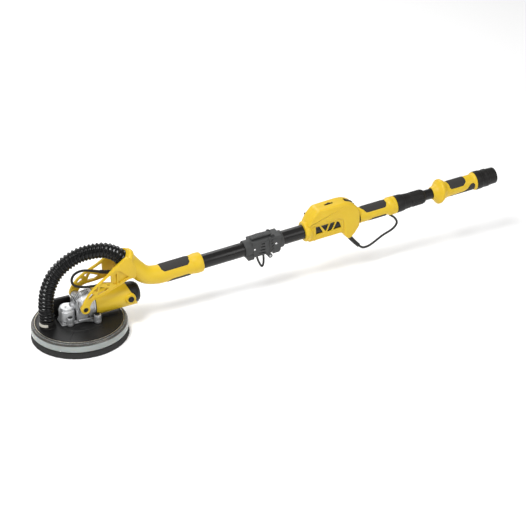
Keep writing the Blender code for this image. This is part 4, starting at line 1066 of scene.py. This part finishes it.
HOUSING_BACK = (
    (0.648, 0.04), (0.669, 0.06), (0.74, 0.061), (0.756, 0.059), (0.773, 0.051), (0.786, 0.0365),
    (0.7912, 0.017), (0.788, -0.018), (0.773, -0.037), (0.759, -0.0495), (0.749, -0.0475),
)
HOUSING_WINDOWS = (
    ((0.659, -0.0085), (0.659, 0.0142), (0.67, 0.0142), (0.6795, -0.008)),
    ((0.674, 0.0142), (0.699, 0.0142), (0.6875, -0.0065)),
    ((0.7028, 0.0142), (0.7175, 0.0142), (0.7045, -0.0092), (0.6905, -0.0092)),
    ((0.7215, 0.0138), (0.7285, 0.01), (0.734, -0.0086), (0.7085, -0.009)),
)


def housing_shells():
    outline = [(0.637, 0.025), *HOUSING_BACK, (0.741, -0.031), (0.734, -0.0255), (0.635, -0.0255)]
    core = rounded(slab(eased(outline, 0.007, True, 4), -0.0208, 0.0208), 0.0035, 3)
    outline = [
        (0.638, 0.0235), *HOUSING_BACK, (0.741, -0.033), (0.74, -0.023), (0.742, 0.001), (0.738, 0.012),
        (0.73, 0.0175), (0.7204, 0.019), (0.654, 0.017), (0.643, 0.018),
    ]
    steps = [add(rounded(slab(eased(outline, 0.006, True, 4), -0.0235, 0.0235), 0.0058, 4))]
    collar = [
        (0.629, 0.0), (0.629, 0.025), (0.6312, 0.0278), (0.64, 0.028), (0.645, 0.0262), (0.648, 0.024),
        (0.648, 0.0),
    ]
    steps.append(add(turned(collar, "x", sides=80, ease=0.002)))
    for s in (0.654, 0.7375):
        steps.append(add(rounded(block((s - 0.0022, -0.0222, -0.025), (s + 0.0022, 0.0222, 0.017)), 0.0016)))
    steps.append(cut(rod(TUBE_BORE, 0.62, 0.8, "x", sides=96)))
    dial_slot = block((0.697, -0.0036, 0.048), (0.722, 0.0036, 0.07))
    steps.append(cut(dial_slot))
    switch_pocket = [(0.754, 0.04), (0.754, 0.065), (0.7815, 0.06), (0.7815, 0.029)]
    steps.append(cut(slab(switch_pocket, -0.008, 0.008)))
    for side, _ in SIDES:
        for window in HOUSING_WINDOWS:
            steps.append(cut(slab(eased(window, 0.001, True), *span(side, 0.015, 0.03))))
    whole = combined(core, steps)
    for side, name in SIDES:
        half = halved(whole, side)
        piece("switch_shell_" + name, half, "yellow", "rear_pole", ["switch_housing_" + name], POLE, 38.0)
    whole.free()


def dial_parts():
    rim = block((0.72, -0.0045, 0.0596), (0.7212, 0.0045, 0.061), 0.0004)
    piece("dial_frame", rim, "black", "rear_pole", (), POLE)
    mark = block((0.704, -0.01, 0.0598), (0.715, -0.006, 0.0602), 0.0002)
    piece("dial_scale", mark, "black", "rear_pole", (), POLE)

    def knurl(distance, radius, i):
        return 0.0005 * (1 if i % 4 < 2 else -1) - 0.0003 if radius > 0.009 else 0.0

    profile = [(-0.003, 0.0), (-0.003, 0.0112), (0.003, 0.0112), (0.003, 0.0)]
    piece("thumb_wheel", turned(profile, "y", DIAL, 96, 0.0006, knurl), "black", "dial", ["speed_dial"], POLE)


def switch_parts():
    """The rocker and its frame, drawn level and then leant onto the housing's back."""
    lean = Matrix.Translation((0.767, 0.0, 0.047)) @ Matrix.Rotation(math.radians(31), 4, "Y")
    rocker = [
        (-0.011, -0.002), (-0.0105, 0.0058), (-0.005, 0.006), (0.0, 0.0066), (0.0105, 0.0048),
        (0.011, -0.002), (0.0, -0.005),
    ]
    parts = [rounded(slab(eased(rocker, 0.001, True), -0.0072, 0.0072), 0.0008, 2)]
    for step in range(4):
        s = 0.003 + 0.0018 * step
        parts.append(block((s, -0.0055, 0.0052), (s + 0.0008, 0.0055, 0.0066), 0.0003))
    piece("rocker_switch", placed(together(*parts), lean), "black", "switch", ["power_switch"], POLE)
    bars = []
    for side, _ in SIDES:
        low, high = span(side, 0.0076, 0.0092)
        bars.append(block((-0.0135, low, 0.003), (0.0135, high, 0.0052), 0.0005))
    piece("switch_frame", placed(together(*bars), lean), "black", "rear_pole", (), POLE)


def housing_screws():
    profile = [(0.02, 0.0), (0.02, 0.003), (0.0237, 0.003), (0.0237, 0.0)]
    screws = []
    for s, n in ((0.65, 0.038), (0.73, 0.048), (0.769, -0.03), (0.65, -0.015), (0.782, 0.012)):
        socket = rod(0.0014, 0.0225, 0.025, "y", (s, 0.0, n), 6, 0.0)
        screws.append(combined(turned(profile, "y", (s, 0.0, n), 24, 0.0004), [cut(socket)]))
    piece("housing_screws", together(*screws), "screw", "rear_pole", (), POLE)


def flutes(start, end, above, depth, period, width):
    """Shallow grooves along a turned piece: of every period of its sides, the first width are sunk."""

    def ripple(distance, radius, i):
        return -depth if start < distance < end and radius > above and i % period < width else 0.0

    return ripple


def tube_parts():
    for name, body, start, end, radius, wall in (
        ("front", "front_pole", 0.3003, 0.497, TUBE_RADIUS, 0.002),
        ("rear", "rear_pole", 0.549, 0.945, TUBE_RADIUS, 0.002),
        ("inner", "extension", 0.6, 1.045, 0.0143, 0.0015),
    ):
        bore, middle = radius - wall, (start + end) / 2
        profile = [(middle, bore), (start, bore), (start, radius), (end, radius), (end, bore)]
        shape = turned(profile, "x", sides=128, ease=0.0005)
        piece("pole_tube_" + name, shape, "tube", body, [name + "_tube"], POLE)


def rear_grip_parts():
    grip = [
        (0.83, TUBE_BORE), (0.7922, TUBE_BORE), (0.7922, 0.0216), (0.796, 0.0216), (0.7968, 0.0211),
        (0.876, 0.0211), (0.88, 0.0218), (0.884, 0.0238), (0.888, 0.0248), (0.896, 0.0246), (0.8972, 0.0237),
        (0.8985, 0.0246), (0.905, 0.0242), (0.9056, TUBE_BORE),
    ]
    shape = turned(grip, "x", sides=128, ease=0.003)
    piece("rear_handle", shape, "yellow", "rear_pole", ["rear_grip"], POLE)
    upper = [
        (0.7985, 90), (0.8045, 118), (0.81, 148), (0.818, 156), (0.838, 156), (0.864, 156), (0.8716, 146),
        (0.876, 118), (0.8765, 90),
    ]
    lower = [(0.817, 232), (0.826, 206), (0.833, 199), (0.86, 200), (0.87, 206), (0.8745, 232)]
    for name, outline in (("upper", upper), ("lower", lower)):
        pad = panel(outline, 0.0211, 0.0009, 0.0)
        piece("rear_pad_" + name, pad, "rubber", "rear_pole", ["rear_grip_" + name], POLE)


def collar_parts():
    sleeve = [
        (0.92, TUBE_BORE), (0.9059, TUBE_BORE), (0.9059, 0.0241), (0.92, 0.0236), (0.928, 0.0228),
        (0.9288, 0.0218), (0.944, 0.0206), (0.949, 0.0202), (0.949, TUBE_BORE),
    ]
    shape = turned(sleeve, "x", sides=160, ripple=flutes(0.9295, 0.948, 0.02, 0.0004, 8, 3))
    piece("tube_sleeve", shape, "black", "rear_pole", ["pole_sleeve"], POLE)
    lock = [
        (0.97, 0.0148), (0.9494, 0.0148), (0.9494, 0.0196), (0.953, 0.0202), (0.955, 0.0206), (0.985, 0.0206),
        (0.987, 0.0199), (0.9905, 0.0188), (0.9935, 0.0172), (0.9935, 0.0148),
    ]
    shape = turned(lock, "x", sides=160, ripple=flutes(0.9545, 0.988, 0.019, 0.0009, 8, 3), ease=0.0008)
    piece("twist_collar", shape, "black", "collar", ["lock_collar"], POLE)


def end_handle_parts():
    handle = [
        (1.09, 0.0146), (1.0186, 0.0146), (1.0186, 0.017), (1.024, 0.0188), (1.03, 0.0226), (1.035, 0.0285),
        (1.0375, 0.0322), (1.04, 0.0333), (1.044, 0.0331), (1.0458, 0.03), (1.05, 0.0292), (1.052, 0.0262),
        (1.056, 0.0238), (1.062, 0.0222), (1.072, 0.0213), (1.118, 0.021), (1.144, 0.0211), (1.1465, 0.0222),
        (1.149, 0.025), (1.152, 0.0252), (1.152, 0.0146),
    ]
    body = turned(handle, "x", sides=128, ease=0.0016)
    # The guard leans: its points slide along with their height, fading out over 10 mm at both ends.
    guard_start, guard_end, fade = 1.019, 1.062, 0.01
    for corner in body.verts:
        s, n = corner.co.x, corner.co.z
        weight = max(0.0, min(1.0, (s - guard_start) / fade, (guard_end - s) / fade))
        corner.co.x += 0.2 * n * weight
    piece("end_body", body, "yellow", "extension", ["end_handle"], POLE)
    upper = [
        (1.0605, 90), (1.0645, 115), (1.064, 142), (1.066, 159), (1.0754, 166), (1.0935, 167), (1.1082, 162),
        (1.118, 146), (1.1205, 120), (1.1208, 90),
    ]
    lower = [
        (1.064, 242), (1.068, 226), (1.091, 221), (1.111, 213), (1.121, 196), (1.128, 168), (1.135, 157),
        (1.141, 160), (1.1446, 174), (1.1452, 200), (1.144, 235),
    ]
    piece("end_pad_upper", panel(upper, 0.0212, 0.0008, 0.0), "rubber", "extension", ["end_grip_upper"], POLE)
    piece("end_pad_lower", panel(lower, 0.0214, 0.0008, 0.0), "rubber", "extension", (), POLE)
    outlet = [
        (1.16, 0.015), (1.1523, 0.015), (1.1523, 0.0254), (1.156, 0.0258), (1.169, 0.0254), (1.17, 0.0244),
        (1.182, 0.024), (1.1828, 0.0246), (1.1915, 0.0243), (1.1925, 0.0232), (1.206, 0.0226),
        (1.213, 0.0224), (1.2155, 0.0217), (1.2155, 0.0165), (1.18, 0.0165), (1.175, 0.015),
    ]
    shape = turned(outlet, "x", sides=160, ripple=flutes(1.1825, 1.192, 0.019, 0.0005, 16, 6), ease=0.0006)
    piece("outlet_cuff", shape, "black", "extension", ["hose_connector"], POLE)


def handle_wire():
    """The cable from the switch housing's foot to the rear grip, with a ribbed sleeve at its start."""
    step = 0.0011
    points = [
        (0.76, -0.046), (0.77, -0.064), (0.795, -0.095), (0.81, -0.1015), (0.8295, -0.0975),
        (0.8625, -0.082), (0.8945, -0.071), (0.9085, -0.056), (0.9025, -0.039), (0.888, -0.0248),
    ]
    path = even_path(smooth_path([Vector((s, -0.003, n)) for s, n in points], 12), step)

    def sheath(i, angle):
        length = i * step
        if length < 0.05:
            return 0.006 - 0.024 * length + (0.0006 if int(length / (2 * step)) % 2 else -0.0003)
        if length < 0.053:
            return 0.0052
        return 0.003

    piece("handle_wire", swept(path, sheath, 20), "cable", "rear_pole", ["handle_cable"], POLE, 50.0)


def carried_parts():
    """Inner pieces keep the model's shape and get a procedural surface."""
    surfaces = {"armature": "copper", "cooling_fan": "black"}
    for name in (
        "field_core", "motor_bearing", "spindle_bearing", "armature", "cooling_fan", "motor_pinion",
        "idler_gear", "spindle", "output_gear", "pad_bolt",
    ):
        surface = surfaces.get(name, "steel")
        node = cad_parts[name]
        node.data.materials.clear()
        node.data.materials.append(LOOKS[surface])


# ---------------------------------------------------------------- studio


def pale_floor():
    mesh = bpy.data.meshes.new("floor")
    shape = bmesh.new()
    bmesh.ops.create_grid(shape, x_segments=1, y_segments=1, size=8.0)
    shape.to_mesh(mesh)
    shape.free()
    floor = bpy.data.objects.new("floor", mesh)
    floor.location = (0.0, 0.0, -0.0002)
    bpy.context.scene.collection.objects.link(floor)
    pale = bpy.data.materials.new("pale_floor")
    pale.use_nodes = True
    inputs = pale.node_tree.nodes["Principled BSDF"].inputs
    inputs["Base Color"].default_value = (0.9, 0.9, 0.9, 1.0)
    inputs["Roughness"].default_value = 0.9
    inputs["Emission Color"].default_value = (1.0, 1.0, 1.0, 1.0)
    inputs["Emission Strength"].default_value = 0.12
    mesh.materials.append(pale)
    return floor


def soft_lights():
    """Three large lamps aimed at the middle of the object: name, place, side in metres and power in watts."""
    lamps = []
    for name, place, size, power in (
        ("key", (-0.9, -0.7, 3.0), 1.2, 88.0),
        ("fill", (1.6, -2.6, 1.9), 1.6, 24.0),
        ("rim", (0.6, 2.6, 2.4), 1.8, 40.0),
    ):
        data = bpy.data.lights.new(name, "AREA")
        data.size = size
        data.energy = power
        lamp = bpy.data.objects.new(name, data)
        lamp.location = place
        lamp.rotation_mode = "QUATERNION"
        aim = Vector((0.45, 0.0, 0.1)) - Vector(place)
        lamp.rotation_quaternion = aim.to_track_quat("-Z", "Y")
        bpy.context.scene.collection.objects.link(lamp)
        lamps.append(lamp)
    return lamps


def white_world():
    world = bpy.data.worlds.new("studio")
    world.use_nodes = True
    background = world.node_tree.nodes["Background"]
    background.inputs["Color"].default_value = (1.0, 1.0, 1.0, 1.0)
    background.inputs["Strength"].default_value = 0.42
    bpy.context.scene.world = world
    bpy.context.scene.view_settings.view_transform = "Standard"


def photo_camera():
    """The camera at the photo's place: yaw from +Y to +X, pitch downwards, roll about the line of sight."""
    place = (-1.01066, -3.38246, 2.14583)
    yaw, pitch, roll = 0.42303, 0.50828, -0.01447
    data = bpy.data.cameras.new("camera")
    data.lens = 110.35
    data.sensor_width = 36.0
    data.clip_end = 50.0
    camera = bpy.data.objects.new("camera", data)
    ahead = Vector((math.sin(yaw) * math.cos(pitch), math.cos(yaw) * math.cos(pitch), -math.sin(pitch)))
    right = Vector((math.cos(yaw), -math.sin(yaw), 0.0))
    up = right.cross(ahead)
    rolled_right = right * math.cos(roll) + up * math.sin(roll)
    rolled_up = up * math.cos(roll) - right * math.sin(roll)
    turn = Matrix((rolled_right, rolled_up, -ahead)).transposed()
    camera.matrix_world = Matrix.Translation(place) @ turn.to_4x4()
    bpy.context.scene.collection.objects.link(camera)
    bpy.context.scene.camera = camera
    return camera


pad_parts()
shroud_parts()
port_parts()
gearbox_base()
gearbox_case()
gearbox_screws()
lamp_driver()
motor_shell()
brush_plugs()
motor_cap()
yoke_parts()
hose_parts()
front_bracket()
rear_bracket()
fold_hardware()
fold_wire()
latch_lever()
housing_shells()
dial_parts()
switch_parts()
housing_screws()
tube_parts()
rear_grip_parts()
collar_parts()
end_handle_parts()
handle_wire()
carried_parts()
white_world()
pale_floor()
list(soft_lights())
photo_camera()
